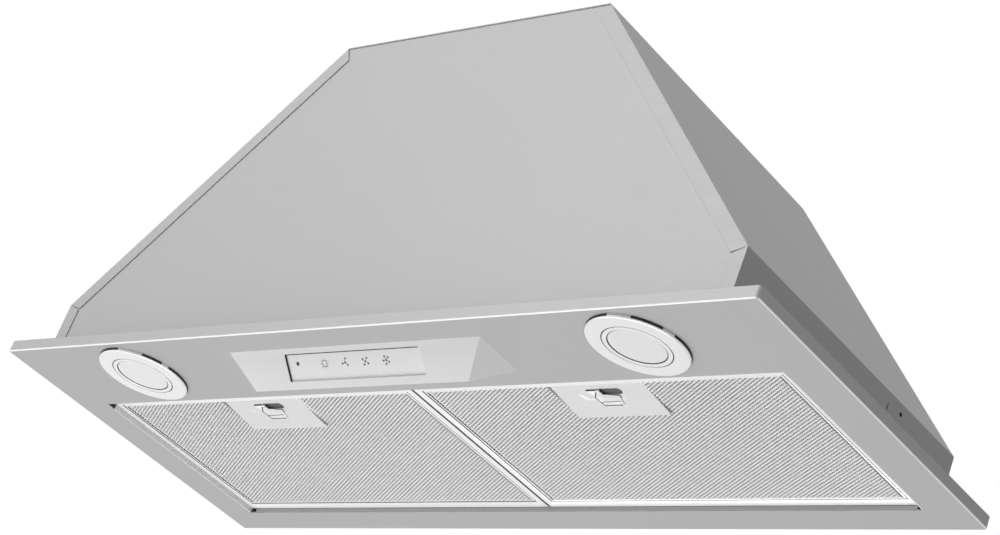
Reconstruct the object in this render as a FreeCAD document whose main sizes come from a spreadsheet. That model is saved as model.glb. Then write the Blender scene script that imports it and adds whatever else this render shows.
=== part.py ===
import FreeCAD, Part
import math
import os
import re
import Sketcher

# Range hood insert: a shallow tray with lamps, a control housing and two
# grease filters below, a tapered sheet body with a double inlet blower
# above, and a round duct collar with a two-flap damper on top.
# Origin: centre of the seating plane, which is the top of the tray's rim.
# +X right, +Y back, +Z up.  All lengths in mm.

V = FreeCAD.Vector
doc = FreeCAD.newDocument("range_hood_insert")
sheet = doc.addObject("Spreadsheet::Sheet", "Sizes")
nodes = []

SIZES = {
    # Tray (the face plate), heights above its lower face
    "plate_wide": 750,
    "plate_deep": 293,
    "rim_tall": 9.5,
    "rim_turn": 8,
    "rim_round": 1.2,
    "plate_corner": 3,
    "skin": 0.8,

    # Body above the tray
    "ledge_wide": 34,
    "ledge_deep": 13.5,
    "body_tall": 278,
    "crease_up": 50,
    "top_wide": 270,
    "wall": 0.8,
    "strip_wide": 12.3,
    "notch_gap": 1.2,
    "slit_inset": 86,
    "slit_below": 13.4,
    "slit_tall": 5.8,
    "slit_wide": 1,
    "fixing_inset": 69.7,
    "fixing_below": 7.3,
    "fixing_round": 1.5,

    # Filter opening and its upstand lips
    "opening_side": 0.8,
    "opening_before": 18,
    "opening_behind": 14.5,
    "lip_tall": 6.5,
    "lip_short": 5,

    # Grease filters
    "filter_gap": 0.5,
    "filter_split": 1.2,
    "filter_recess": 4,
    "filter_thick": 9,
    "filter_sheet": 0.8,
    "filter_flange": 10.5,
    "filter_bead": 0.85,
    "mesh_gap": 0.3,
    "tab_long": 3.5,
    "tab_wide": 24,
    "tab_place": 120,
    "lip_clear": 0.3,

    # Filter latch: a tilted plate, a sprung slide behind it and a pull tab
    "latch_shift": 0.3,
    "latch_wide": 83,
    "latch_deep": 38.7,
    "latch_drop": 3.05,
    "latch_clear": 0.3,
    "hook_reach": 7,
    "hook_wide": 8,
    "hook_place": 30,
    "hook_up": 1.6,
    "latch_sheet": 0.8,
    "latch_lift": 0.1,
    "pull_shift": 1.5,
    "window_wide": 32,
    "window_near": 6,
    "window_long": 7,
    "slide_left": 4,
    "slide_right": 16,
    "slide_back": 15,
    "slide_sheet": 1.2,
    "slide_gap": 0.35,
    "nose_reach": 15.5,
    "stem_wide": 7,
    "stem_place": 7,
    "stem_thick": 1,
    "post_wide": 8,
    "pull_shoulder": 7.7,
    "pull_long": 17.7,
    "pull_wide": 22.4,
    "pull_tip": 17.7,
    "pull_thick": 1,
    "pull_gap": 0.3,
    "guide_round": 1,
    "guide_up": 4.4,
    "guide_long": 14,
    "rib_place": 20,
    "spring_round": 1.8,
    "spring_bore": 1.2,
    "spring_long": 7,

    # Lamps
    "lamp_side": 91,
    "lamp_inset": 29,
    "bezel_round": 37,
    "bezel_drop": 3,
    "lamp_hole": 26.7,
    "sleeve_round": 26.4,
    "sleeve_wall": 1.4,
    "sleeve_up": 13.5,
    "lens_round": 20.9,
    "lens_gap": 0.3,
    "bezel_sheet": 2,
    "can_wall": 1,
    "can_tall": 12.5,
    "lamp_board": 1.2,

    # Control housing: a hip roof that hangs under the plate
    "control_wide": 255,
    "control_shift": -3,
    "control_inset": 9,
    "control_deep": 44.5,
    "ridge_side": 19.5,
    "ridge_back": 23,
    "ridge_drop": 21,
    "housing_wall": 2,
    "cutout_side": 12.5,
    "cutout_near": 4,
    "cutout_far": 4.5,
    "boss_side": 9.5,
    "boss_round": 3.5,
    "housing_screw": 1.2,
    "screw_clear": 0.1,

    # Control strip, keys and board, along the housing's front face
    "recess_wide": 138,
    "recess_near": 4.2,
    "recess_far": 25.5,
    "recess_deep": 1.5,
    "strip_gap": 0.15,
    "strip_thick": 1.5,
    "key_wide": 16,
    "key_long": 13.7,
    "key_line": 12,
    "key_gap": 0.3,
    "key_thick": 3.1,
    "key_flange": 1,
    "light_place": -29,
    "low_place": -7.8,
    "medium_place": 12.8,
    "high_place": 33.7,
    "indicator_place": -58.5,
    "indicator_round": 1.5,
    "board_past": 1,
    "board_depth": 8,
    "board_thick": 1.6,
    "switch_wide": 6,
    "switch_tall": 2.1,

    # Blower scroll
    "blower_inset": 87,
    "blower_up": 140,
    "blower_half": 56,
    "scroll_reach": 94,
    "scroll_step": 9,
    "tongue_round": 5,
    "inlet_inside": 8,
    "inlet_lip": 4,
    "angle_leg": 15,
    "angle_sheet": 1,
    "angle_start": 6,
    "angle_long": 48,

    # Impeller and motor
    "wheel_round": 60,
    "blade_deep": 11.5,
    "wheel_clear": 6,
    "wheel_ring": 1.5,
    "wheel_disc": 2,
    "blade_count": 32,
    "blade_sheet": 0.6,
    "blade_inset": 0.5,
    "hub_round": 11,
    "hub_half": 10,
    "shaft_round": 4,
    "shaft_fit": 0.05,
    "shaft_past": 4,
    "nut_thick": 4,
    "nut_round": 7.5,
    "motor_round": 42,
    "motor_start": 13,
    "motor_out": 16,
    "motor_wall": 1.5,
    "cap_thick": 2,
    "bearing_round": 9,
    "bearing_long": 7,
    "rotor_round": 24,
    "rotor_long": 34,
    "air_gap": 0.5,
    "stator_long": 28,
    "bracket_sheet": 2,
    "bracket_past": 6,
    "bracket_arm": 14,
    "band_wide": 8,
    "band_wall": 2,
    "bolt_beyond": 12,
    "bracket_turn": 60,
    "bolt_round": 2,
    "bolt_head": 3.6,
    "bolt_head_tall": 2.4,

    # Duct collar and damper
    "collar_round": 74.5,
    "collar_tall": 40,
    "collar_sheet": 0.8,
    "collar_brim": 13.5,
    "bolt_out": 7.5,
    "damper_up": 20,
    "damper_gap": 1.2,
    "damper_sheet": 0.6,
    "damper_pin": 1.5,
    "pin_short": 0.3,
    "knuckle_round": 2.3,
    "knuckle_long": 30,
    "knuckle_gap": 0.25,
    "flap_start": 3,
    "stop_reach": 3.2,
    "screw_round": 1.6,
    "screw_head": 3.2,
    "screw_head_tall": 1.8,
    "screw_long": 5,

    # Wiring box, gland, capacitor and lamp driver
    "box_side": 7,
    "box_near": 5.2,
    "box_before": 4,
    "box_behind": 25,
    "box_tall": 40,
    "box_wall": 1,
    "box_boss": 3,
    "box_screw": 1.2,
    "gland_side": 13,
    "gland_inset": 48,
    "gland_round": 8,
    "gland_bore": 5,
    "gland_flange": 12,
    "gland_flange_tall": 5,
    "gland_dome": 9,
    "gland_dome_tall": 12,
    "gland_below": 12,
    "terminal_wide": 50,
    "terminal_deep": 16,
    "terminal_tall": 12,
    "capacitor_round": 15,
    "capacitor_before": 30,
    "capacitor_below": 28,
    "capacitor_tall": 50,
    "clip_wall": 1,
    "clip_wide": 12,
    "driver_side": 101,
    "driver_wide": 80,
    "driver_deep": 20,
    "driver_tall": 30,
    "driver_up": 45,
}

for row, (name, value) in enumerate(SIZES.items(), 1):
    sheet.set(f"B{row}", str(value))
    sheet.setAlias(f"B{row}", name)
doc.recompute()

WORD = re.compile(r"[a-z][a-z_]*[a-z]")

# Shared sizes and places, as expressions of the sizes above
BODY_WIDE = "(plate_wide - 2*ledge_wide)"
BODY_DEEP = "(plate_deep - 2*ledge_deep)"
SKIN_TOP = "(skin - rim_tall)"
TOP = "(body_tall - rim_tall)"
UNDER_TOP = "(body_tall - rim_tall - wall)"
CREASE = "(crease_up - rim_tall)"
RUN = f"(({BODY_WIDE} - top_wide)/2)"
RISE = "(body_tall - crease_up)"
SLOPE = f"sqrt({RUN}*{RUN} + {RISE}*{RISE})"
SLIT_Y = f"({BODY_DEEP}/2 - slit_inset)"
SLIT_UP = "(crease_up - slit_below)"
FIXING_Y = f"({BODY_DEEP}/2 - fixing_inset)"
FIXING_UP = "(crease_up - fixing_below)"
CONTROL_FRONT = f"({BODY_DEEP}/2 - control_inset)"
CONTROL_BACK = f"({CONTROL_FRONT} - control_deep)"
RIDGE_WIDE = "(control_wide - 2*ridge_side)"
CUTOUT_WIDE = "(control_wide - 2*cutout_side)"
CUTOUT_FRONT = f"({CONTROL_FRONT} - cutout_near)"
CUTOUT_BACK = f"({CONTROL_BACK} + cutout_far)"
BOSS_X = "(control_wide/2 - boss_side)"
BOARD_WIDE = "(recess_wide + 2*board_past)"
OPENING_WIDE = f"({BODY_WIDE} - 2*wall - 2*opening_side)"
OPENING_FRONT = f"({CONTROL_BACK} - opening_before)"
OPENING_BACK = f"({BODY_DEEP}/2 - opening_behind)"
LATCH_X = f"({OPENING_WIDE}/4 + latch_shift)"
LATCH_Y = f"({OPENING_FRONT} - filter_gap - filter_flange - latch_clear)"
LAMP_X = f"({BODY_WIDE}/2 - lamp_side)"
LAMP_Y = f"({BODY_DEEP}/2 - lamp_inset)"
BLOWER_Y = f"({BODY_DEEP}/2 - blower_inset)"
SCROLL_BACK = f"(scroll_reach - {BLOWER_Y})"
THROAT = f"(tongue_round - {BLOWER_Y} - scroll_step/2)"
INLET = "(wheel_round - inlet_inside)"
WHEEL_BORE = "(wheel_round - blade_deep)"
WHEEL_HALF = "(blower_half - wheel_clear)"
SHAFT_LEFT = "(hub_half + nut_thick + shaft_past)"
MOTOR_END = "(blower_half + motor_out)"
BOLT_CIRCLE = f"({INLET} + bolt_beyond)"
BRACKET_REACH = f"({BOLT_CIRCLE} + bracket_past)"
ANGLE_FRONT = f"(angle_start - {BLOWER_Y})"
ANGLE_BACK = f"({ANGLE_FRONT} + angle_long)"
COLLAR_Y = f"(({SCROLL_BACK} + {THROAT})/2)"
COLLAR_FLANGE = "(collar_round + collar_brim)"
COLLAR_BOLT = "(collar_round + bolt_out)"
BOX_OUTER = "(top_wide/2 - box_side)"
BOX_INNER = "(blower_half + wall + box_near)"
BOX_FRONT = f"({ANGLE_BACK} + box_before)"
BOX_BACK = f"({BODY_DEEP}/2 - box_behind)"
GLAND_X = f"({BOX_OUTER} - gland_side)"
GLAND_Y = f"({BOX_FRONT} + gland_inset)"
CAPACITOR_LOW = "(body_tall - capacitor_below - capacitor_tall)"
CAPACITOR_Y = f"({BOX_FRONT} - capacitor_before)"
DRIVER_X = f"(driver_side - {BODY_WIDE}/2)"
FACE = "sqrt(ridge_back*ridge_back + ridge_drop*ridge_drop)"
FILTER_LOW = "(filter_recess - rim_tall)"
DAMPER_Z = f"({TOP} + damper_up)"


def bound(text):
    """The expression with every size name pointing at its cell."""
    return WORD.sub(lambda m: "Sizes." + m.group(0) if m.group(0) in SIZES else m.group(0), text)


def number(text):
    """The value of a size or of an expression."""
    return float(sheet.evalExpression(text))


def box(name, x, y, z):
    """A box between pairs of expressions."""
    made = doc.addObject("Part::Box", name)
    for axis, side, (low, high) in zip("xyz", ("Length", "Width", "Height"), (x, y, z)):
        made.setExpression("Placement.Base." + axis, bound(low))
        made.setExpression(side, bound(f"({high}) - ({low})"))
    return made


TURN = {
    "x": FreeCAD.Rotation(V(0, 1, 0), 90),
    "y": FreeCAD.Rotation(V(1, 0, 0), -90),
    "z": FreeCAD.Rotation(),
}


def rod(name, axis, radius, start, along):
    """A cylinder from a start point; along gives its length."""
    made = doc.addObject("Part::Cylinder", name)
    made.Placement = FreeCAD.Placement(V(), TURN[axis])
    made.setExpression("Radius", bound(radius))
    made.setExpression("Height", bound(along))
    for axis_name, text in zip("xyz", start):
        made.setExpression("Placement.Base." + axis_name, bound(text))
    return made


def join(name, *parts):
    made = doc.addObject("Part::MultiFuse", name)
    made.Shapes = list(parts)
    made.Refine = True
    return made


def cut(name, base, *tools):
    made = doc.addObject("Part::Cut", name)
    made.Base = base
    made.Tool = tools[0] if len(tools) == 1 else join(name + "_tools", *tools)
    made.Refine = True
    return made


def group(name, *parts):
    made = doc.addObject("Part::Compound", name)
    made.Links = list(parts)
    return made


def seat(made, x, y, z, angle):
    """Put a piece built in its own frame in place, turned about X."""
    made.Placement = FreeCAD.Placement(V(), FreeCAD.Rotation(V(1, 0, 0), -30))
    made.setExpression("Placement.Rotation.Angle", bound(angle))
    for axis, text in zip("xyz", (x, y, z)):
        made.setExpression("Placement.Base." + axis, bound(text))
    return made


def node(name, made):
    made.Label = name
    nodes.append(made)
    return made


def coded(name, shape):
    """A piece whose shape is worked out in code from the sheet."""
    made = doc.addObject("Part::Feature", name)
    made.Shape = shape
    made.Placement = FreeCAD.Placement()
    return made


def side_pair(sign, low, high):
    return (low, high) if sign > 0 else (f"-({high})", f"-({low})")


def signed(sign, text):
    return f"({text})" if sign > 0 else f"-({text})"


def boss_x(sign):
    """The middle of a screw boss of the control housing."""
    return f"control_shift + {signed(sign, BOSS_X)}"


def outline(body, name, plane, offset, points):
    """A closed sketch whose corners are bound to the sheet."""
    made = body.newObject("Sketcher::SketchObject", name)
    support = [f for f in body.Origin.OriginFeatures if f.Role == plane][0]
    made.AttachmentSupport = [(support, "")]
    made.MapMode = "FlatFace"
    made.setExpression("AttachmentOffset.Base.z", bound(offset))
    count = len(points)
    start = [V(number(across), number(up), 0) for across, up in points]
    for i in range(count):
        made.addGeometry(Part.LineSegment(start[i], start[(i + 1) % count]), False)
    for i in range(count):
        made.addConstraint(Sketcher.Constraint("Coincident", i, 2, (i + 1) % count, 1))
    for i, (across, up) in enumerate(points):
        held = made.addConstraint(Sketcher.Constraint("DistanceX", -1, 1, i, 1, start[i].x))
        made.setExpression("Constraints[%d]" % held, bound(across))
        held = made.addConstraint(Sketcher.Constraint("DistanceY", -1, 1, i, 1, start[i].y))
        made.setExpression("Constraints[%d]" % held, bound(up))
    return made


def pad(body, name, plane, offset, length, points):
    """Pad an outline; on XZ the pad runs towards -Y from -offset."""
    made = body.newObject("PartDesign::Pad", name)
    made.Profile = outline(body, name + "_sketch", plane, offset, points)
    made.setExpression("Length", bound(length))
    return made


def rounded(body, name, base, radius, wanted):
    """Round the edges of the last feature that a test picks."""
    doc.recompute()
    picked = ["Edge%d" % (i + 1) for i, edge in enumerate(base.Shape.Edges) if wanted(edge)]
    made = body.newObject("PartDesign::Fillet", name)
    made.Base = (base, picked)
    made.setExpression("Radius", bound(radius))
    return made


def is_upright(edge):
    return abs(edge.Vertexes[0].Point.z - edge.Vertexes[-1].Point.z) > 1


def is_lowest(edge):
    return edge.BoundBox.ZMax < number("rim_round/2 - rim_tall")


# ---- Tray ----------------------------------------------------------------

def rectangle(wide, deep):
    return [(f"-({wide})", f"-({deep})"), (wide, f"-({deep})"), (wide, deep), (f"-({wide})", deep)]


def make_face_plate():
    outer = doc.addObject("PartDesign::Body", "plate_outer")
    block = pad(outer, "plate_block", "XY_Plane", "-rim_tall", "rim_tall",
                rectangle("plate_wide/2", "plate_deep/2"))
    upright = rounded(outer, "plate_corners", block, "plate_corner", is_upright)
    rounded(outer, "plate_edge", upright, "rim_round", is_lowest)
    inner = doc.addObject("PartDesign::Body", "plate_inner")
    space = pad(inner, "plate_space", "XY_Plane", SKIN_TOP, "rim_tall - 2*skin",
                rectangle("plate_wide/2 - skin", "plate_deep/2 - skin"))
    rounded(inner, "plate_space_corners", space, "plate_corner - skin", is_upright)
    mouth = box("plate_mouth", ("rim_turn - plate_wide/2", "plate_wide/2 - rim_turn"),
                ("rim_turn - plate_deep/2", "plate_deep/2 - rim_turn"), ("-2*skin", "skin"))
    through = ("-2*rim_tall", "rim_tall")
    window = box("filter_hole", (f"-{OPENING_WIDE}/2", f"{OPENING_WIDE}/2"),
                 (f"-{OPENING_FRONT}", OPENING_BACK), through)
    control = box("control_hole", (f"control_shift - {CUTOUT_WIDE}/2", f"control_shift + {CUTOUT_WIDE}/2"),
                  (f"-{CUTOUT_FRONT}", f"-{CUTOUT_BACK}"), through)
    holes = [rod("plate_lamp_hole_" + side, "z", "lamp_hole",
                 (signed(sign, LAMP_X), f"-{LAMP_Y}", "-2*rim_tall"), "3*rim_tall")
             for side, sign in SIDES]
    screws = [rod("plate_screw_hole_" + side, "z", "housing_screw + screw_clear",
                  (boss_x(sign), f"ridge_back - {CONTROL_FRONT}", "-2*rim_tall"), "3*rim_tall")
              for side, sign in SIDES]
    tray = cut("plate_tray", outer, inner, mouth, window, control, *holes, *screws)
    long_run = (f"lip_short - {OPENING_WIDE}/2", f"{OPENING_WIDE}/2 - lip_short")
    short_run = (f"lip_short - {OPENING_FRONT}", f"{OPENING_BACK} - lip_short")
    tall = ("-rim_tall", "lip_tall - rim_tall")
    front = box("lip_front", long_run, (f"-{OPENING_FRONT} - skin", f"-{OPENING_FRONT}"), tall)
    back = box("lip_back", long_run, (OPENING_BACK, f"{OPENING_BACK} + skin"), tall)
    edge = f"{OPENING_WIDE}/2"
    ends = [box("lip_" + side, side_pair(sign, edge, f"{edge} + skin"), short_run, tall) for side, sign in SIDES]
    node("face_plate", join("plate", tray, front, back, *ends))


# ---- Body panels ---------------------------------------------------------

def make_end_panel(name, offset):
    """Front or back sheet, between the side panels and inside their strips."""
    foot = f"{BODY_WIDE}/2 - wall"
    bend = f"{CREASE} + wall*({RISE} - {SLOPE})/{RUN}"
    head = f"top_wide/2 + wall*{RUN}/{RISE} - wall*{SLOPE}/{RISE}"
    body = doc.addObject("PartDesign::Body", name + "_body")
    pad(body, name + "_pad", "XZ_Plane", offset, "wall", [
        (f"-({foot})", SKIN_TOP), (foot, SKIN_TOP), (foot, bend),
        (head, UNDER_TOP), (f"-({head})", UNDER_TOP), (f"-({foot})", bend)])
    node(name, body)


def make_side_panel(name, sign):
    """Vertical wall, slanted wall and the strips bent over front and back."""
    edge = f"{BODY_WIDE}/2"
    head = f"top_wide/2 + wall*{RUN}/{RISE}"
    lean = f"{SLOPE}/{RISE}"
    fold = f"({RISE} - {SLOPE})/{RUN}"

    def at(across, up):
        return signed(sign, across), up

    body = doc.addObject("PartDesign::Body", name + "_body")
    pad(body, name + "_wall", "XZ_Plane", f"-{BODY_DEEP}/2", BODY_DEEP, [
        at(edge, SKIN_TOP), at(edge, CREASE), at(head, UNDER_TOP),
        at(f"{head} - wall*{lean}", UNDER_TOP),
        at(f"{edge} - wall", f"{CREASE} + wall*{fold}"), at(f"{edge} - wall", SKIN_TOP)])
    for end, offset in (("front", f"{BODY_DEEP}/2 - wall"), ("back", f"-{BODY_DEEP}/2")):
        pad(body, f"{name}_{end}_foot", "XZ_Plane", offset, "wall", [
            at(edge, SKIN_TOP), at(edge, CREASE),
            at(f"{edge} - strip_wide", f"{CREASE} + strip_wide*{fold}"),
            at(f"{edge} - strip_wide", SKIN_TOP)])
        pad(body, f"{name}_{end}_strip", "XZ_Plane", offset, "wall", [
            at(edge, CREASE), at(head, UNDER_TOP),
            at(f"top_wide/2 + strip_wide*{RUN}/{RISE} - strip_wide*{lean}", f"{TOP} - strip_wide"),
            at(f"{edge} - strip_wide - notch_gap*{RUN}/{SLOPE}",
               f"{CREASE} + strip_wide*{fold} + notch_gap*{RISE}/{SLOPE}")])
    span = side_pair(sign, f"{BODY_WIDE}/2 - 2*wall", f"{BODY_WIDE}/2 + wall")
    slit = box(name + "_slit", span, (f"{SLIT_Y} - slit_wide/2", f"{SLIT_Y} + slit_wide/2"),
               (f"{SLIT_UP} - rim_tall", f"{SLIT_UP} + slit_tall - rim_tall"))
    hole = rod(name + "_hole", "x", "fixing_round",
               (span[0], FIXING_Y, f"{FIXING_UP} - rim_tall"), "3*wall")
    node(name, cut(name + "_cut", body, slit, hole))


def make_top_plate():
    plate = box("top_sheet", ("-top_wide/2", "top_wide/2"), (f"-{BODY_DEEP}/2", f"{BODY_DEEP}/2"),
                (UNDER_TOP, TOP))
    low = f"{TOP} - 2*wall"
    duct = rod("top_duct_hole", "z", "collar_round - collar_sheet", ("0", COLLAR_Y, low), "3*wall")
    gland = rod("top_gland_hole", "z", "gland_round + screw_clear", (f"-{GLAND_X}", GLAND_Y, low), "3*wall")
    screws = [rod(f"top_screw_hole_{i}", "z", "screw_round + screw_clear", (x, y, low), "3*wall")
              for i, (x, y) in enumerate(COLLAR_BOLTS)]
    node("top_plate", cut("top", plate, duct, gland, *screws))


# ---- Duct collar and damper ----------------------------------------------

BOLT = f"{COLLAR_BOLT}*sqrt(0.5)"
COLLAR_BOLTS = [(f"-{BOLT}", f"{COLLAR_Y} - {BOLT}"), (BOLT, f"{COLLAR_Y} - {BOLT}"),
                (BOLT, f"{COLLAR_Y} + {BOLT}"), (f"-{BOLT}", f"{COLLAR_Y} + {BOLT}")]


def make_collar():
    foot = rod("collar_foot", "z", COLLAR_FLANGE, ("0", COLLAR_Y, TOP), "collar_sheet")
    tube = rod("collar_tube", "z", "collar_round", ("0", COLLAR_Y, TOP), "collar_tall")
    bore = rod("collar_bore", "z", "collar_round - collar_sheet",
               ("0", COLLAR_Y, f"{TOP} - wall"), "collar_tall + 2*wall")
    pin = rod("collar_pin_hole", "y", "damper_pin + shaft_fit",
              ("0", f"{COLLAR_Y} - 2*collar_round", DAMPER_Z), "4*collar_round")
    screws = [rod(f"collar_screw_hole_{i}", "z", "screw_round + screw_clear", spot + (f"{TOP} - wall",), "3*wall")
              for i, spot in enumerate(COLLAR_BOLTS)]
    shell = cut("collar_shell", join("collar_solid", foot, tube), bore, pin, *screws)
    rest = f"{DAMPER_Z} - damper_sheet/2 - damper_sheet/2"
    stops = [box("collar_stop_" + side, side_pair(sign, "collar_round - collar_sheet - stop_reach",
                                                  "collar_round - collar_sheet/2"),
                 (f"{COLLAR_Y} - 2*stop_reach", f"{COLLAR_Y} + 2*stop_reach"),
                 (f"{rest} - collar_sheet", rest)) for side, sign in SIDES]
    node("duct_collar", join("collar", shell, *stops))
    node("collar_screws", group("collar_screw_set", *[
        screw(f"collar_screw_{i}", (x, y), f"{TOP} + collar_sheet", 1)
        for i, (x, y) in enumerate(COLLAR_BOLTS)]))
    node("damper_pin", rod("pin", "y", "damper_pin", ("0", f"{COLLAR_Y} - collar_round + pin_short", DAMPER_Z),
                           "2*collar_round - 2*pin_short"))


def screw(name, place, seat_z, up):
    """Pan head screw; up is 1 where the head lies above its seat."""
    x, y = place
    if up > 0:
        head = rod(name + "_head", "z", "screw_head", (x, y, seat_z), "screw_head_tall")
        shank = rod(name + "_shank", "z", "screw_round", (x, y, f"{seat_z} - screw_long"), "screw_long")
    else:
        head = rod(name + "_head", "z", "screw_head", (x, y, f"{seat_z} - screw_head_tall"),
                   "screw_head_tall")
        shank = rod(name + "_shank", "z", "box_screw", (x, y, seat_z), "screw_long")
    return join(name, head, shank)


def make_flap(name, sign, turns):
    """Half disc with two knuckles that share the pin with the other flap."""
    disc = rod(name + "_disc", "z", "collar_round - collar_sheet - damper_gap",
               ("0", COLLAR_Y, f"{DAMPER_Z} - damper_sheet/2"), "damper_sheet")
    other = box(name + "_other", side_pair(sign, "-2*collar_round", "flap_start"),
                (f"{COLLAR_Y} - 2*collar_round", f"{COLLAR_Y} + 2*collar_round"),
                (f"{DAMPER_Z} - damper_sheet", f"{DAMPER_Z} + damper_sheet"))
    half = cut(name + "_half", disc, other)
    parts = [half]
    for turn in turns:
        low = f"{COLLAR_Y} + {turn}*knuckle_long + knuckle_gap"
        high = f"{COLLAR_Y} + {turn + 1}*knuckle_long - knuckle_gap"
        parts.append(rod(f"{name}_knuckle_{turn + 2}", "y", "knuckle_round", ("0", low, DAMPER_Z),
                         "knuckle_long - 2*knuckle_gap"))
        parts.append(box(f"{name}_tab_{turn + 2}", side_pair(sign, "0", "2*flap_start"), (low, high),
                         (f"{DAMPER_Z} - damper_sheet/2", f"{DAMPER_Z} + damper_sheet/2")))
    bore = rod(name + "_bore", "y", "damper_pin + shaft_fit",
               ("0", f"{COLLAR_Y} - 2*collar_round", DAMPER_Z), "4*collar_round")
    node(name, cut(name + "_cut", join(name + "_solid", *parts), bore))


# ---- Blower --------------------------------------------------------------

def scroll_face(inset, top, x):
    """The scroll's section in the YZ plane, three quarter turns and a throat."""
    step = number("scroll_step")
    middle_y = -number(BLOWER_Y) + step / 2
    middle_z = number("blower_up") - number("rim_tall") + step / 2
    large = number(SCROLL_BACK) - middle_y
    tongue = number("tongue_round")
    left_y = middle_y - step
    low_z = middle_z - step
    arch = low_z + large - 2 * step

    def point(y, z):
        return V(x, y, z)

    def arc(centre_y, centre_z, radius, start, end):
        spots = [math.radians(a) for a in (start, (start + end) / 2, end)]
        return Part.Arc(*[point(centre_y + radius * math.cos(a), centre_z + radius * math.sin(a))
                          for a in spots]).toShape()

    back = middle_y + large - inset
    throat = left_y + tongue + inset
    edges = [
        Part.LineSegment(point(back, top), point(back, middle_z)).toShape(),
        arc(middle_y, middle_z, large - inset, 0, -90),
        arc(middle_y, low_z, large - step - inset, -90, -180),
        arc(left_y, low_z, large - 2 * step - inset, 180, 90),
        arc(left_y, arch + tongue, tongue + inset, -90, 0),
        Part.LineSegment(point(throat, arch + tongue), point(throat, top)).toShape(),
        Part.LineSegment(point(throat, top), point(back, top)).toShape(),
    ]
    return Part.Face(Part.Wire(edges))


def axle(radius, start, end):
    """A cylinder on the blower's axis."""
    place = V(start, -number(BLOWER_Y), number("blower_up") - number("rim_tall"))
    return Part.makeCylinder(radius, end - start, place, V(1, 0, 0))


def around(shape, count, first):
    """Copies of a shape, evenly turned about the blower's axis."""
    place = V(0, -number(BLOWER_Y), number("blower_up") - number("rim_tall"))
    made = []
    for i in range(count):
        copy = shape.copy()
        copy.rotate(place, V(1, 0, 0), first + 360.0 * i / count)
        made.append(copy)
    return made


def make_scroll():
    wall = number("wall")
    half = number("blower_half")
    top = number("body_tall") - number("rim_tall") - wall
    inner = scroll_face(wall, top + wall, -half).extrude(V(2 * half, 0, 0))
    ring = scroll_face(0, top, -half).extrude(V(2 * half, 0, 0)).cut(inner)
    node("scroll_wrap", coded("wrap", ring))
    inlet = number(INLET)
    lip = number("inlet_lip")
    bolts = around(bolt_hole(number("bolt_round") + number("screw_clear")), 3, number("bracket_turn"))
    for side, sign in SIDES:
        disc = scroll_face(0, top, half if sign > 0 else -half - wall).extrude(V(wall, 0, 0))
        low, high = sorted((sign * (half - lip), sign * (half + wall)))
        sheet_side = disc.fuse(axle(inlet + wall, low, high)).cut(axle(inlet, low - wall, high + wall))
        if sign > 0:
            sheet_side = sheet_side.cut(bolts)
        node("scroll_side_" + side, coded("scroll_end_" + side, sheet_side.removeSplitter()))
    node("blower_angles", group("angle_pair", *[angle(side, sign) for side, sign in SIDES]))


def bolt_hole(radius):
    place = V(0, -number(BLOWER_Y), number("blower_up") - number("rim_tall") + number(BOLT_CIRCLE))
    return Part.makeCylinder(radius, 2 * number("blower_half"), place, V(1, 0, 0))


def angle(side, sign):
    """L angle that ties the scroll's side to the top plate."""
    run = (ANGLE_FRONT, ANGLE_BACK)
    near = "blower_half + wall"
    upright = box("angle_upright_" + side, side_pair(sign, near, f"{near} + angle_sheet"), run,
                  (f"{UNDER_TOP} - angle_leg", UNDER_TOP))
    level = box("angle_level_" + side, side_pair(sign, near, f"{near} + angle_leg"), run,
                (f"{UNDER_TOP} - angle_sheet", UNDER_TOP))
    return join("angle_" + side, upright, level)


def blade():
    """One forward curved blade, at the top of the wheel."""
    inner = number(f"{WHEEL_BORE} + blade_inset")
    outer = number("wheel_round - blade_inset")
    thick = number("blade_sheet")
    half = number(WHEEL_HALF)
    place = V(-half, -number(BLOWER_Y), number("blower_up") - number("rim_tall"))

    def spot(shift, reach):
        return place + V(0, shift, reach)

    middle = (inner + outer) / 2
    bow = (outer - inner) / 5
    low = Part.Arc(spot(0, inner), spot(bow, middle), spot(0, outer)).toShape()
    high = Part.Arc(spot(thick, outer), spot(bow + thick, middle), spot(thick, inner)).toShape()
    near = Part.LineSegment(spot(thick, inner), spot(0, inner)).toShape()
    far = Part.LineSegment(spot(0, outer), spot(thick, outer)).toShape()
    return Part.Face(Part.Wire([low, far, high, near])).extrude(V(2 * half, 0, 0))


def make_impeller():
    half = number(WHEEL_HALF)
    rim = number("wheel_ring")
    bore = number(WHEEL_BORE)
    outer = number("wheel_round")
    disc = number("wheel_disc") / 2
    hub = number("hub_half")
    shaft = number("shaft_round")
    rings = [axle(outer, low, low + rim).cut(axle(bore, low, low + rim)) for low in (-half, half - rim)]
    middle = axle(outer, -disc, disc).fuse(axle(number("hub_round"), -hub, hub))
    middle = middle.cut(axle(shaft, -2 * hub, 2 * hub))
    wheel = middle.fuse(rings + around(blade(), int(number("blade_count")), 0))
    node("impeller", coded("wheel", wheel))
    left = number(SHAFT_LEFT)
    nut = number("nut_thick")
    place = V(-hub - nut, -number(BLOWER_Y), number("blower_up") - number("rim_tall"))
    corners = [place + V(0, number("nut_round") * math.cos(math.pi * i / 3),
                         number("nut_round") * math.sin(math.pi * i / 3)) for i in range(6)]
    hexagon = Part.Face(Part.makePolygon(corners + corners[:1])).extrude(V(nut, 0, 0))
    node("impeller_nut", coded("hub_nut", hexagon.cut(axle(shaft, -2 * left, 0))))
    end = number(MOTOR_END) - 2 * number("motor_wall")
    node("motor_shaft", coded("shaft", axle(shaft, -left, end)))


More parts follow.
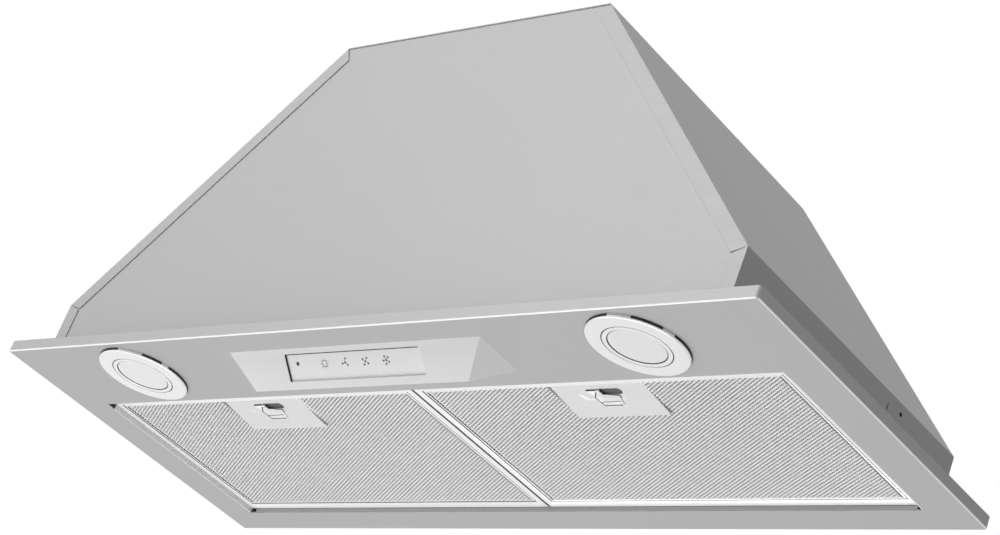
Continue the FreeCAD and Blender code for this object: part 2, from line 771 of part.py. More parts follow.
def make_motor():
    start = number("motor_start")
    end = number(MOTOR_END)
    wall = number("motor_wall")
    outer = number("motor_round")
    cap = number("cap_thick")
    fit = number("shaft_round") + number("shaft_fit")
    bearing = number("bearing_round")
    long_bearing = number("bearing_long")
    shell = axle(outer, start + cap, end).cut(axle(outer - wall, start, end - wall))
    shell = shell.fuse(axle(bearing, end - long_bearing, end - wall))
    node("motor_can", coded("can", shell.cut(axle(fit, start, end - wall))))
    lid = axle(outer, start, start + cap).fuse(axle(bearing, start + cap, start + long_bearing))
    node("motor_end_cap", coded("end_cap", lid.cut(axle(fit, start - cap, end))))
    middle = (start + end) / 2
    rotor = number("rotor_round")
    rotor_half = number("rotor_long") / 2
    stator_half = number("stator_long") / 2
    core = axle(rotor, middle - rotor_half, middle + rotor_half)
    node("motor_rotor", coded("rotor", core.cut(axle(number("shaft_round"), start, end))))
    coils = axle(outer - wall, middle - stator_half, middle + stator_half)
    node("motor_stator", coded("stator", coils.cut(axle(rotor + number("air_gap"), start, end))))


def make_bracket():
    """Band round the motor and three arms bolted to the scroll's right side."""
    near = number("blower_half") + number("wall")
    thick = number("bracket_sheet")
    motor = number("motor_round")
    band = number("band_wall")
    arm = number("bracket_arm")
    reach = number(BRACKET_REACH)
    centre_y = -number(BLOWER_Y)
    centre_z = number("blower_up") - number("rim_tall")
    start = motor + band / 2
    bar = Part.makeBox(thick, arm, reach - start, V(near, centre_y - arm / 2, centre_z + start))
    turn = number("bracket_turn")
    holes = around(bolt_hole(number("bolt_round") + number("screw_clear")), 3, turn)
    bars = [b.cut(h) for b, h in zip(around(bar, 3, turn), holes)]
    far = near + number("band_wide")
    ring = axle(motor + band, near, far).cut(axle(motor, near, far))
    node("motor_bracket", coded("bracket", ring.fuse(bars)))
    circle = centre_z + number(BOLT_CIRCLE)
    head = Part.makeCylinder(number("bolt_head"), number("bolt_head_tall"), V(near + thick, centre_y, circle),
                             V(1, 0, 0))
    shank = Part.makeCylinder(number("bolt_round"), thick + 2 * number("wall"),
                              V(near - 2 * number("wall"), centre_y, circle), V(1, 0, 0))
    node("motor_screws", coded("bolts", Part.makeCompound(around(head.fuse(shank), 3, turn))))


# ---- Wiring --------------------------------------------------------------

def make_wiring():
    x = (f"-{BOX_OUTER}", f"-{BOX_INNER}")
    y = (BOX_FRONT, BOX_BACK)
    z = (f"{UNDER_TOP} - box_tall", UNDER_TOP)
    low = z[0]
    outer = box("wiring_outer", x, y, z)
    inner = box("wiring_inner", (f"box_wall - {BOX_OUTER}", f"-{BOX_INNER} - box_wall"),
                (f"{BOX_FRONT} + box_wall", f"{BOX_BACK} - box_wall"),
                (f"{low} - box_wall", f"{UNDER_TOP} - box_wall"))
    spots = [(f"box_boss - {BOX_OUTER}", f"{BOX_BACK} - box_boss"),
             (f"-{BOX_INNER} - box_boss", f"{BOX_FRONT} + box_boss")]
    bosses = [rod(f"wiring_boss_{i}", "z", "box_boss", spot + (low,), "box_tall") for i, spot in enumerate(spots)]
    holes = [rod(f"wiring_boss_hole_{i}", "z", "box_screw", (a, b, f"{low} - box_wall"), "2*screw_long")
             for i, (a, b) in enumerate(spots)]
    cable = rod("wiring_cable_hole", "z", "gland_round + screw_clear",
                (f"-{GLAND_X}", GLAND_Y, f"{UNDER_TOP} - 2*box_wall"), "3*box_wall")
    shell = join("wiring_shell", cut("wiring_hollow", outer, inner), *bosses)
    node("wiring_box", cut("wiring", shell, cable, *holes))
    lid = box("wiring_lid", x, y, (f"{low} - box_wall", low))
    lid_holes = [rod(f"wiring_lid_hole_{i}", "z", "box_screw + screw_clear", (a, b, f"{low} - 2*box_wall"),
                     "3*box_wall") for i, (a, b) in enumerate(spots)]
    node("wiring_box_cover", cut("wiring_lid_cut", lid, *lid_holes))
    node("cover_screws", group("cover_screw_set", *[
        screw(f"cover_screw_{i}", spot, f"{low} - box_wall", -1) for i, spot in enumerate(spots)]))
    middle = f"(-({BOX_OUTER} + {BOX_INNER})/2)"
    node("terminal_block", box("terminals", (f"{middle} - terminal_wide/2", f"{middle} + terminal_wide/2"),
                               (f"{BOX_FRONT} + 2*box_boss + box_wall",
                                f"{BOX_FRONT} + 2*box_boss + box_wall + terminal_deep"),
                               (f"{UNDER_TOP} - box_wall - terminal_tall", f"{UNDER_TOP} - box_wall")))
    spot = (f"-{GLAND_X}", GLAND_Y)
    stem = rod("gland_stem", "z", "gland_round", spot + (f"{TOP} - gland_below",), "gland_below")
    nut = rod("gland_nut", "z", "gland_flange", spot + (f"{UNDER_TOP} - box_wall - gland_flange_tall",),
              "gland_flange_tall")
    flange = rod("gland_collar", "z", "gland_flange", spot + (TOP,), "gland_flange_tall")
    dome = rod("gland_cap", "z", "gland_dome", spot + (TOP,), "gland_flange_tall + gland_dome_tall")
    bore = rod("gland_hole", "z", "gland_bore", spot + (f"{TOP} - 2*gland_below",),
               "3*gland_below + gland_flange_tall + gland_dome_tall")
    node("cable_gland", cut("gland", join("gland_solid", stem, nut, flange, dome), bore))


def make_capacitor():
    middle = ("-(blower_half + wall + clip_wall + capacitor_round)", CAPACITOR_Y)
    low = f"{CAPACITOR_LOW} - rim_tall"
    node("capacitor", rod("capacitor_can", "z", "capacitor_round", middle + (low,), "capacitor_tall"))
    foot_z = f"{low} + capacitor_tall/2 - clip_wide/2"
    band = rod("clip_band", "z", "capacitor_round + clip_wall", middle + (foot_z,), "clip_wide")
    foot = box("clip_foot", ("-(blower_half + wall + clip_wall)", "-(blower_half + wall)"),
               (f"{CAPACITOR_Y} - capacitor_round", f"{CAPACITOR_Y} + capacitor_round"),
               (foot_z, f"{foot_z} + clip_wide"))
    bore = rod("clip_bore", "z", "capacitor_round", middle + (low,), "capacitor_tall")
    node("capacitor_clip", cut("clip", join("clip_solid", band, foot), bore))
    node("lamp_driver", box("driver", (DRIVER_X, f"{DRIVER_X} + driver_wide"),
                            (f"{BODY_DEEP}/2 - 2*wall - driver_deep", f"{BODY_DEEP}/2 - 2*wall"),
                            ("driver_up - rim_tall", "driver_up + driver_tall - rim_tall")))


# ---- Lamps ---------------------------------------------------------------

def make_lamp(side, sign):
    spot = (signed(sign, LAMP_X), f"-{LAMP_Y}")
    low = "(-rim_tall - bezel_drop)"
    ring = rod("bezel_ring_" + side, "z", "bezel_round", spot + (low,), "bezel_drop")
    sleeve = rod("bezel_sleeve_" + side, "z", "sleeve_round", spot + (low,), "sleeve_up")
    hollow = rod("bezel_hollow_" + side, "z", "sleeve_round - sleeve_wall",
                 spot + (f"{low} + bezel_sheet",), "2*sleeve_up")
    mouth = rod("bezel_mouth_" + side, "z", "lens_round + lens_gap", spot + (f"{low} - bezel_drop",),
                "sleeve_up")
    node("lamp_bezel_" + side, cut("bezel_" + side, join("bezel_solid_" + side, ring, sleeve), hollow, mouth))
    can_round = "(sleeve_round - sleeve_wall - lens_gap)"
    seat_z = f"({low} + bezel_sheet)"
    front = rod("lens_front_" + side, "z", "lens_round", spot + (f"{low} + lens_gap",), "2*bezel_sheet - lens_gap")
    flange = rod("lens_flange_" + side, "z", f"{can_round} - can_wall - lens_gap", spot + (seat_z,), "bezel_sheet")
    node("lamp_lens_" + side, join("lens_" + side, front, flange))
    outer = rod("can_outer_" + side, "z", can_round, spot + (seat_z,), "can_tall")
    inner = rod("can_inner_" + side, "z", f"{can_round} - can_wall", spot + (f"{seat_z} - can_wall",), "can_tall")
    node("lamp_can_" + side, cut("can_" + side, outer, inner))
    board = rod("lamp_board_" + side, "z", f"{can_round} - can_wall - lens_gap",
                spot + (f"{seat_z} + can_tall - can_wall - lamp_board",), "lamp_board")
    return board


def lamp_clip(side, sign, hand):
    """Spring clip outside the sleeve that holds the lamp on the plate."""
    near = "sleeve_round"
    x = signed(sign, LAMP_X)
    run = (f"-{LAMP_Y} - 4*can_wall", f"4*can_wall - {LAMP_Y}")

    def span(low, high):
        pair = side_pair(hand, low, high)
        return f"{x} + {pair[0]}", f"{x} + {pair[1]}"

    upright = box(f"clip_upright_{side}_{hand + 1}", span(near, f"{near} + can_wall"), run,
                  (SKIN_TOP, "sleeve_up - rim_tall - bezel_drop"))
    level = box(f"clip_level_{side}_{hand + 1}", span(near, f"{near} + 8*can_wall"), run,
                (SKIN_TOP, f"{SKIN_TOP} + can_wall"))
    return join(f"clip_{side}_{hand + 1}", upright, level)


# ---- Control housing -----------------------------------------------------

def hip_roof(name, edge, ends, front, back, drop):
    """A hip roof hung under a plane: half width, ridge half width, y limits."""
    made = doc.addObject("Part::Wedge", name)
    made.Placement = FreeCAD.Placement(V(), FreeCAD.Rotation(V(1, 0, 0), -90))
    low, ridge = front
    made.Ymin = 0
    for cell, text in (("Xmin", f"-({edge})"), ("Xmax", edge), ("X2min", f"-({ends})"), ("X2max", ends),
                       ("Ymax", drop), ("Zmin", low), ("Zmax", back), ("Z2min", ridge), ("Z2max", ridge)):
        made.setExpression(cell, bound(text))
    made.setExpression("Placement.Base.x", bound("control_shift"))
    made.setExpression("Placement.Base.z", bound("-rim_tall"))
    return made


def on_face(made):
    """Seat a piece built along the housing's front face, +z inward."""
    return seat(made, "control_shift", f"-{CONTROL_FRONT}", "-rim_tall", "-atan2(ridge_drop; ridge_back)")


KEYS = (("key_light", "light_place"), ("key_speed_low", "low_place"),
        ("key_speed_medium", "medium_place"), ("key_speed_high", "high_place"))


def make_housing():
    back_run = f"({CONTROL_FRONT} - {CONTROL_BACK} - ridge_back)"
    end_run = f"((control_wide - {RIDGE_WIDE})/2)"
    front_shift = f"housing_wall*{FACE}/ridge_drop"
    back_shift = f"housing_wall*sqrt({back_run}*{back_run} + ridge_drop*ridge_drop)/ridge_drop"
    end_shift = f"housing_wall*sqrt({end_run}*{end_run} + ridge_drop*ridge_drop)/ridge_drop"
    deep = f"({CONTROL_FRONT} - {CONTROL_BACK})"
    share = f"(({deep} - {front_shift} - {back_shift})/{deep})"
    outer = hip_roof("housing_outer", "control_wide/2", f"{RIDGE_WIDE}/2",
                     (f"-{CONTROL_FRONT}", f"ridge_back - {CONTROL_FRONT}"), f"-{CONTROL_BACK}", "ridge_drop")
    inner = hip_roof("housing_inner", f"control_wide/2 - {end_shift}",
                     f"control_wide/2 - {end_shift} - {end_run}*{share}",
                     (f"{front_shift} - {CONTROL_FRONT}", f"{front_shift} - {CONTROL_FRONT} + ridge_back*{share}"),
                     f"-{CONTROL_BACK} - {back_shift}", f"ridge_drop*{share}")
    posts = join("housing_posts", *[
        rod("housing_post_" + side, "z", "boss_round",
            (boss_x(sign), f"ridge_back - {CONTROL_FRONT}", "-rim_tall - ridge_drop"), "ridge_drop")
        for side, sign in SIDES])
    trimmed = doc.addObject("Part::Common", "housing_bosses")
    trimmed.Base = posts
    trimmed.Tool = outer
    shell = join("housing_shell", cut("housing_hollow", outer, inner), trimmed)
    window = on_face(group("housing_window", box("housing_window_block", ("-recess_wide/2", "recess_wide/2"),
                                                 ("recess_near", "recess_far"),
                                                 ("-housing_wall", "2*housing_wall"))))
    holes = [rod("housing_screw_hole_" + side, "z", "housing_screw",
                 (boss_x(sign), f"ridge_back - {CONTROL_FRONT}", "-rim_tall - screw_long"),
                 "2*screw_long") for side, sign in SIDES]
    node("control_housing", cut("housing", shell, window, *holes))
    heads = []
    for side, sign in SIDES:
        spot = (boss_x(sign), f"ridge_back - {CONTROL_FRONT}")
        head = rod("housing_head_" + side, "z", "screw_head", spot + (SKIN_TOP,), "screw_head_tall")
        shank = rod("housing_shank_" + side, "z", "housing_screw", spot + (f"{SKIN_TOP} - screw_long",),
                    "screw_long")
        heads.append(join("housing_screw_" + side, head, shank))
    node("housing_screws", group("housing_screw_set", *heads))


def make_strip():
    near = "recess_near + strip_gap"
    far = "recess_far - strip_gap"
    slab = box("strip_slab", ("strip_gap - recess_wide/2", "recess_wide/2 - strip_gap"), (near, far),
               ("recess_deep", "recess_deep + strip_thick"))
    flange = box("strip_flange", ("-recess_wide/2 - housing_wall", "recess_wide/2 + housing_wall"),
                 (near, "recess_far + strip_thick"), ("housing_wall", "recess_deep + strip_thick"))
    posts = [rod(f"strip_post_{i}", "z", "housing_screw", (x, y, "recess_deep"), "board_depth - recess_deep")
             for i, (x, y) in enumerate((("2*housing_wall - recess_wide/2", "recess_near + 2*housing_wall"),
                                         ("recess_wide/2 - 2*housing_wall", "recess_near + 2*housing_wall"),
                                         ("2*housing_wall - recess_wide/2", "recess_far - 2*housing_wall"),
                                         ("recess_wide/2 - 2*housing_wall", "recess_far - 2*housing_wall")))]
    openings = [box("strip_hole_" + name, (f"{place} - key_wide/2 - key_gap", f"{place} + key_wide/2 + key_gap"),
                    ("key_line - key_long/2 - key_gap", "key_line + key_long/2 + key_gap"),
                    ("0", "board_depth")) for name, place in KEYS]
    light = rod("strip_light_hole", "z", "indicator_round + shaft_fit", ("indicator_place", "key_line", "0"),
                "board_depth")
    node("control_strip", on_face(cut("strip", join("strip_solid", slab, flange, *posts), *openings, light)))
    front = "recess_deep"
    for name, place in KEYS:
        cap = box(name + "_cap", (f"{place} - key_wide/2", f"{place} + key_wide/2"),
                  ("key_line - key_long/2", "key_line + key_long/2"), (front, f"{front} + key_thick"))
        ears = box(name + "_ears", (f"{place} - key_wide/2 - key_flange", f"{place} + key_wide/2 + key_flange"),
                   ("key_line - key_long/2", "key_line + key_long/2"),
                   (f"{front} + strip_thick + key_gap", f"{front} + key_thick"))
        node(name, on_face(join(name + "_solid", cap, ears)))
    dot = rod("indicator_dot", "z", "indicator_round", ("indicator_place", "key_line", "recess_deep"),
              "strip_thick + key_flange")
    base = rod("indicator_base", "z", "indicator_round + key_flange",
               ("indicator_place", "key_line", "recess_deep + strip_thick"), "key_flange")
    node("indicator_lens", on_face(join("indicator", dot, base)))
    board = box("board_sheet", (f"-{BOARD_WIDE}/2", f"{BOARD_WIDE}/2"),
                ("recess_near + housing_wall", "recess_far - housing_wall"),
                ("board_depth", "board_depth + board_thick"))
    switches = [box("switch_" + name, (f"{place} - switch_wide/2", f"{place} + switch_wide/2"),
                    ("key_line - switch_wide/2", "key_line + switch_wide/2"),
                    ("board_depth - switch_tall", "board_depth")) for name, place in KEYS]
    node("control_board", on_face(join("board", board, *switches)))


# ---- Grease filters and their latches ------------------------------------

def make_filter(side, sign):
    inner = "filter_split/2"
    outer = f"({OPENING_WIDE}/2 - filter_gap)"
    front = f"(filter_gap - {OPENING_FRONT})"
    back = f"({OPENING_BACK} - filter_gap)"
    top = f"({FILTER_LOW} + filter_thick)"
    name = "filter_" + side
    block = box(name + "_block", side_pair(sign, inner, outer), (front, back), (FILTER_LOW, top))
    space = box(name + "_space", side_pair(sign, f"{inner} + filter_sheet", f"{outer} - filter_sheet"),
                (f"{front} + filter_sheet", f"{back} - filter_sheet"),
                (f"{FILTER_LOW} + filter_sheet", f"{top} - filter_sheet"))
    window = box(name + "_window", side_pair(sign, f"{inner} + filter_flange", f"{outer} - filter_flange"),
                 (f"{front} + filter_flange", f"{back} - filter_flange"),
                 (f"{FILTER_LOW} - filter_sheet", f"{top} + filter_sheet"))
    lock = f"{signed(sign, LATCH_X)} + pull_shift"
    slot = box(name + "_slot", (f"{lock} - slide_left - 2*pull_gap", f"{lock} + slide_right + 2*pull_gap"),
               (f"{front} - filter_sheet", f"{front} + 2*filter_sheet"),
               ("lip_tall - rim_tall - lip_clear", "lip_tall - rim_tall + 2*slide_sheet"))
    channel = cut(name + "_channel", block, space, window, slot)
    tabs = [box(f"{name}_tab_{i}", side_pair(sign, f"{place} - tab_wide/2", f"{place} + tab_wide/2"),
                (f"{back} - filter_sheet", f"{back} + tab_long"),
                ("lip_tall - rim_tall + lip_clear", "lip_tall - rim_tall + lip_clear + filter_sheet"))
            for i, place in enumerate((f"({LATCH_X} - tab_place/2)", f"({LATCH_X} + tab_place/2)"))]
    bead_z = f"{FILTER_LOW} + filter_bead"
    low, high = side_pair(sign, f"{inner} + filter_flange", f"{outer} - filter_flange")
    beads = [rod(f"{name}_bead_{i}", "x", "filter_bead", (low, place, bead_z),
                 f"{outer} - {inner} - 2*filter_flange")
             for i, place in enumerate((f"{front} + filter_flange - filter_bead",
                                        f"{back} - filter_flange + filter_bead"))]
    ends = [rod(f"{name}_end_{i}", "y", "filter_bead", (place, f"{front} + filter_flange - filter_bead", bead_z),
                f"{back} - {front} - 2*filter_flange + 2*filter_bead")
            for i, place in enumerate((f"{low} - filter_bead", f"{high} + filter_bead"))]
    node("filter_frame_" + side, join(name + "_frame", channel, *tabs, *beads, *ends))
    make_mesh(side, sign, (inner, outer), (front, back), top)
    make_latch(side, sign)


def make_mesh(side, sign, across, along, top):
    name = "mesh_" + side
    inner, outer = across
    front, back = along
    low = f"{FILTER_LOW} + filter_sheet + mesh_gap"
    slab = box(name + "_slab", side_pair(sign, f"{inner} + filter_flange + mesh_gap",
                                         f"{outer} - filter_flange - mesh_gap"),
               (f"{front} + filter_flange + mesh_gap", f"{back} - filter_flange - mesh_gap"),
               (low, f"{top} - filter_sheet - mesh_gap"))
    bed = box(name + "_bed", side_pair(sign, f"{inner} + filter_sheet + mesh_gap",
                                       f"{outer} - filter_sheet - mesh_gap"),
              (f"{front} + filter_sheet + mesh_gap", f"{back} - filter_sheet - mesh_gap"),
              (f"{FILTER_LOW} + 2*filter_bead + mesh_gap", f"{top} - filter_sheet - mesh_gap"))
    wide = side_pair(sign, f"{LATCH_X} - latch_wide/2 - 2*filter_sheet", f"{LATCH_X} + latch_wide/2 + 2*filter_sheet")
    low = f"{FILTER_LOW} - filter_sheet"
    plate = f"{FILTER_LOW} + filter_sheet + latch_lift + latch_sheet + mesh_gap"
    lock = f"{signed(sign, LATCH_X)} + pull_shift"
    pockets = [
        box(name + "_hook_pocket", wide, (front, f"2*latch_sheet - {LATCH_Y}"),
            (low, f"{plate} + hook_up + slide_gap")),
        box(name + "_plate_pocket", wide, (front, f"window_near + window_long - {LATCH_Y}"), (low, plate)),
        box(name + "_lock_pocket", (f"{lock} - slide_left - 2*filter_sheet", f"{lock} + slide_right + 2*filter_sheet"),
            (front, f"rib_place + window_long - {LATCH_Y}"),
            (low, f"{FILTER_LOW} + filter_thick/2 + 2*slide_sheet"))]
    node("filter_mesh_" + side, cut(name, join(name + "_solid", slab, bed), *pockets))


def on_latch(made, sign):
    """Seat a latch piece: frame at the plate's front edge, tilted down backwards."""
    return seat(made, signed(sign, LATCH_X), f"-{LATCH_Y}", f"{FILTER_LOW} + filter_sheet + latch_lift",
                "-atan2(latch_drop; latch_deep)")


def lock_span(low, high):
    """A span across the latch, from the middle of its lock."""
    return f"pull_shift - ({low})", f"pull_shift + ({high})"


def make_latch(side, sign):
    name = "latch_" + side
    plate = box(name + "_sheet", ("-latch_wide/2", "latch_wide/2"), ("0", "latch_deep"), ("0", "latch_sheet"))
    hooks = []
    for hand in (-1, 1):
        across = side_pair(hand, "hook_place - hook_wide/2", "hook_place + hook_wide/2")
        hooks.append(box(f"{name}_riser_{hand + 1}", across, ("0", "latch_sheet"), ("0", "hook_up + latch_sheet")))
        hooks.append(box(f"{name}_finger_{hand + 1}", across, ("-hook_reach", "latch_sheet"),
                         ("hook_up", "hook_up + latch_sheet")))
    post = lock_span("post_wide/2", "post_wide/2")
    rib = box(name + "_rib", post, ("rib_place", "rib_place + stem_thick"),
              ("latch_sheet/2", "guide_up + spring_round"))
    deep = ("-latch_sheet", "2*latch_sheet")
    window = box(name + "_window", lock_span("(window_wide - window_long)/2", "(window_wide - window_long)/2"),
                 ("window_near", "window_near + window_long"), deep)
    ends = [rod(f"{name}_window_end_{i}", "z", "window_long/2", (x, "window_near + window_long/2", deep[0]),
                "3*latch_sheet")
            for i, x in enumerate(lock_span("(window_wide - window_long)/2", "(window_wide - window_long)/2"))]
    hole = rod(name + "_rib_hole", "y", "guide_round + pull_gap", ("pull_shift", "rib_place - stem_thick", "guide_up"),
               "3*stem_thick")
    node("latch_plate_" + side, on_latch(cut(name + "_plate", join(name + "_solid", plate, rib, *hooks),
                                             window, hole, *ends), sign))
    slide = "(latch_sheet + slide_gap)"
    rear = ("stem_place", "stem_place + stem_thick")
    bar = box(name + "_bar", lock_span("slide_left", "slide_right"), ("-nose_reach", "slide_back"),
              (slide, f"{slide} + slide_sheet"))
    stem = box(name + "_stem", lock_span("stem_wide/2", "stem_wide/2"), rear,
               ("-pull_gap - pull_thick", f"{slide} + slide_sheet"))
    carrier = box(name + "_post", post, rear, (slide, "guide_up + spring_round"))
    guide = rod(name + "_guide", "y", "guide_round", ("pull_shift", "stem_place", "guide_up"),
                "stem_thick + guide_long")
    body = doc.addObject("PartDesign::Body", name + "_pull")
    shoulder = "stem_place + pull_shoulder"
    tip = "stem_place + pull_long"
    pad(body, name + "_pull_pad", "XY_Plane", "-pull_gap - pull_thick", "pull_thick", [
        ("pull_shift - stem_wide/2", "stem_place"), ("pull_shift + stem_wide/2", "stem_place"),
        ("pull_shift + pull_wide/2", shoulder), ("pull_shift + pull_tip/2", tip),
        ("pull_shift - pull_tip/2", tip), ("pull_shift - pull_wide/2", shoulder)])
    node("latch_slide_" + side, on_latch(join(name + "_slide", bar, stem, carrier, guide, body), sign))
    coil = rod(name + "_coil", "y", "spring_round", ("pull_shift", "stem_place + stem_thick", "guide_up"),
               "spring_long")
    bore = rod(name + "_coil_bore", "y", "spring_bore", ("pull_shift", "stem_place", "guide_up"), "2*spring_long")
    node("latch_spring_" + side, on_latch(cut(name + "_spring", coil, bore), sign))


SIDES = (("left", -1), ("right", 1))

make_face_plate()
make_end_panel("front_panel", f"{BODY_DEEP}/2 - 2*wall")
make_end_panel("back_panel", f"wall - {BODY_DEEP}/2")
make_side_panel("left_side_panel", -1)
make_side_panel("right_side_panel", 1)
make_top_plate()
make_collar()
make_flap("damper_flap_left", -1, (-2, 0))
make_flap("damper_flap_right", 1, (-1, 1))
make_scroll()
make_impeller()
make_motor()
make_bracket()
make_capacitor()
make_wiring()
make_housing()
make_strip()
node("lamp_boards", group("lamp_board_pair", *[make_lamp(side, sign) for side, sign in SIDES]))
node("lamp_clips", group("lamp_clip_set", *[lamp_clip(side, sign, hand) for side, sign in SIDES
                                            for hand in (-1, 1)]))
for side, sign in SIDES:
    make_filter(side, sign)

doc.recompute()
for made in doc.Objects:
    if "Invalid" in made.State or "Error" in made.State:
        raise RuntimeError("%s is %s" % (made.Label, made.State))
for made in nodes:
    if made.Shape.isNull() or not made.Shape.isValid():
        raise RuntimeError("%s has no valid shape" % made.Label)

os.makedirs("parts", exist_ok=True)
for made in nodes:
    made.Shape.exportStep("parts/%s.step" % made.Label)
print(len(nodes), "pieces written")
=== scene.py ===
import bmesh
import bpy
import math
from mathutils import Matrix, Vector


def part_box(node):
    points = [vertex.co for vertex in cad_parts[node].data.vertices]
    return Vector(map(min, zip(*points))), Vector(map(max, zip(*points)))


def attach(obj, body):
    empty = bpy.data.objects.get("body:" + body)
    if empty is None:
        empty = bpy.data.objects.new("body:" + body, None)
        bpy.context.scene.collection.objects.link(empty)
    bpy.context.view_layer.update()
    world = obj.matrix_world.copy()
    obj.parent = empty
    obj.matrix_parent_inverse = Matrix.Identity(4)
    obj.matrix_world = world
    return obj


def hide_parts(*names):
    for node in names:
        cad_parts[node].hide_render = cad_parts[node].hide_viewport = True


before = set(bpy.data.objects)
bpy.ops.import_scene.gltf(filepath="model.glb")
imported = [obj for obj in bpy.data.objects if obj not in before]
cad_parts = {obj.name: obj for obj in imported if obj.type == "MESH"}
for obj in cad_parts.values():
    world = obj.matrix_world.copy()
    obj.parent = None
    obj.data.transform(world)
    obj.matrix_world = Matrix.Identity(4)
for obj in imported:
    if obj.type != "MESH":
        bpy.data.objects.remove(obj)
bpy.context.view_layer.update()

# ---------------------------------------------------------------------------
# Studio. The hood hangs as in use, seen from below, in front and to the right,
# on pure white. Three large soft lamps light the body from in front, the lower
# faces from low on the left and the underside; a pale floor lies far below.
FLOOR_HEIGHT = -2.3
FLOOR_REACH = 9

scene = bpy.context.scene
scene.view_settings.view_transform = "Standard"
lens = bpy.data.cameras.new("camera")
lens.sensor_fit = "HORIZONTAL"
lens.sensor_width = 36
lens.lens = 94.868
lens.clip_end = 60
camera = bpy.data.objects.new("camera", lens)
camera.matrix_world = Matrix((
    (0.73680802, 0.06495603, 0.67297449, 1.344589),
    (0.59097471, -0.54539055, -0.5943888, -1.207354),
    (0.32842479, 0.83566133, -0.4402355, -0.755248),
    (0, 0, 0, 1)))
scene.collection.objects.link(camera)
scene.camera = camera



def node(tree, kind, values=None, **settings):
    """Add a node with its settings and the values of its inputs, by name or number."""
    made = tree.nodes.new(kind)
    for key, value in settings.items():
        setattr(made, key, value)
    for key, value in (values or {}).items():
        made.inputs[key].default_value = value
    return made


def wire(tree, *links):
    """Link outputs to inputs, pair by pair."""
    for source, target in links:
        tree.links.new(source, target)


world = bpy.data.worlds.new("studio")
world.use_nodes = True
scene.world = world
sky = world.node_tree
sky.nodes.clear()
ray = node(sky, "ShaderNodeLightPath")
seen = node(sky, "ShaderNodeMath", operation="MAXIMUM")
through = node(sky, "ShaderNodeMath", operation="MAXIMUM")
white = node(sky, "ShaderNodeBackground", {"Color": (1, 1, 1, 1)})
dim = node(sky, "ShaderNodeBackground", {"Color": (0.98, 0.99, 1, 1), "Strength": 0.15})
either = node(sky, "ShaderNodeMixShader")
result = node(sky, "ShaderNodeOutputWorld")
wire(sky, (ray.outputs["Is Camera Ray"], seen.inputs[0]), (ray.outputs["Is Glossy Ray"], seen.inputs[1]),
     (seen.outputs[0], through.inputs[0]), (ray.outputs["Is Transmission Ray"], through.inputs[1]),
     (through.outputs[0], either.inputs[0]), (dim.outputs[0], either.inputs[1]),
     (white.outputs[0], either.inputs[2]), (either.outputs[0], result.inputs[0]))


def lamp(name, place, towards, width, height, power):
    """A soft rectangular studio lamp aimed at a point."""
    data = bpy.data.lights.new(name, "AREA")
    data.shape = "RECTANGLE"
    data.size = width
    data.size_y = height
    data.energy = power
    made = bpy.data.objects.new(name, data)
    aim = Vector(towards) - Vector(place)
    made.matrix_world = Matrix.Translation(place) @ aim.to_track_quat("-Z", "Y").to_matrix().to_4x4()
    scene.collection.objects.link(made)


lamp("front_lamp", (-0.9, -2.6, 1.3), (0, 0, 0.1), 2.4, 1.6, 56)
lamp("low_lamp", (-1.5, -1.1, -1.6), (0, 0, 0), 2.0, 2.0, 12)
lamp("under_lamp", (-0.25, 0.15, -1.9), (0, 0, 0), 1.8, 1.8, 24.5)


def surface(name, slot, colour, metallic=0.0, rough=(0.4, 0.5), grain=(1, 1, 1), fine=220.0, broad=9.0,
            mottle=0.03, bump=0.0, depth=0.0002, edge=0.0):
    """Broad mottle in the colour, fine grain in roughness and relief, softened edges."""
    made = bpy.data.materials.new(name)
    made["slot"] = slot
    made.use_nodes = True
    tree = made.node_tree
    shader = tree.nodes["Principled BSDF"]
    shader.inputs["Metallic"].default_value = metallic
    where = node(tree, "ShaderNodeTexCoord")
    along = node(tree, "ShaderNodeMapping", {"Scale": grain})
    small = node(tree, "ShaderNodeTexNoise", {"Scale": fine, "Detail": 5})
    large = node(tree, "ShaderNodeTexNoise", {"Scale": broad, "Detail": 3})
    shade = node(tree, "ShaderNodeMix", data_type="RGBA")
    shade.inputs[6].default_value = (*[c * (1 - mottle) for c in colour], 1)
    shade.inputs[7].default_value = (*[min(1, c * (1 + mottle)) for c in colour], 1)
    spread = node(tree, "ShaderNodeMapRange",
                  {"From Min": 0.3, "From Max": 0.7, "To Min": rough[0], "To Max": rough[1]})
    relief = node(tree, "ShaderNodeBump", {"Strength": bump, "Distance": depth})
    wire(tree, (where.outputs["Object"], along.inputs["Vector"]), (along.outputs[0], small.inputs["Vector"]),
         (where.outputs["Object"], large.inputs["Vector"]), (large.outputs["Fac"], shade.inputs[0]),
         (shade.outputs[2], shader.inputs["Base Color"]), (small.outputs["Fac"], spread.inputs["Value"]),
         (spread.outputs[0], shader.inputs["Roughness"]), (small.outputs["Fac"], relief.inputs["Height"]),
         (relief.outputs[0], shader.inputs["Normal"]))
    if edge:
        soft = node(tree, "ShaderNodeBevel", {"Radius": edge}, samples=4)
        wire(tree, (soft.outputs[0], relief.inputs["Normal"]))
    return made


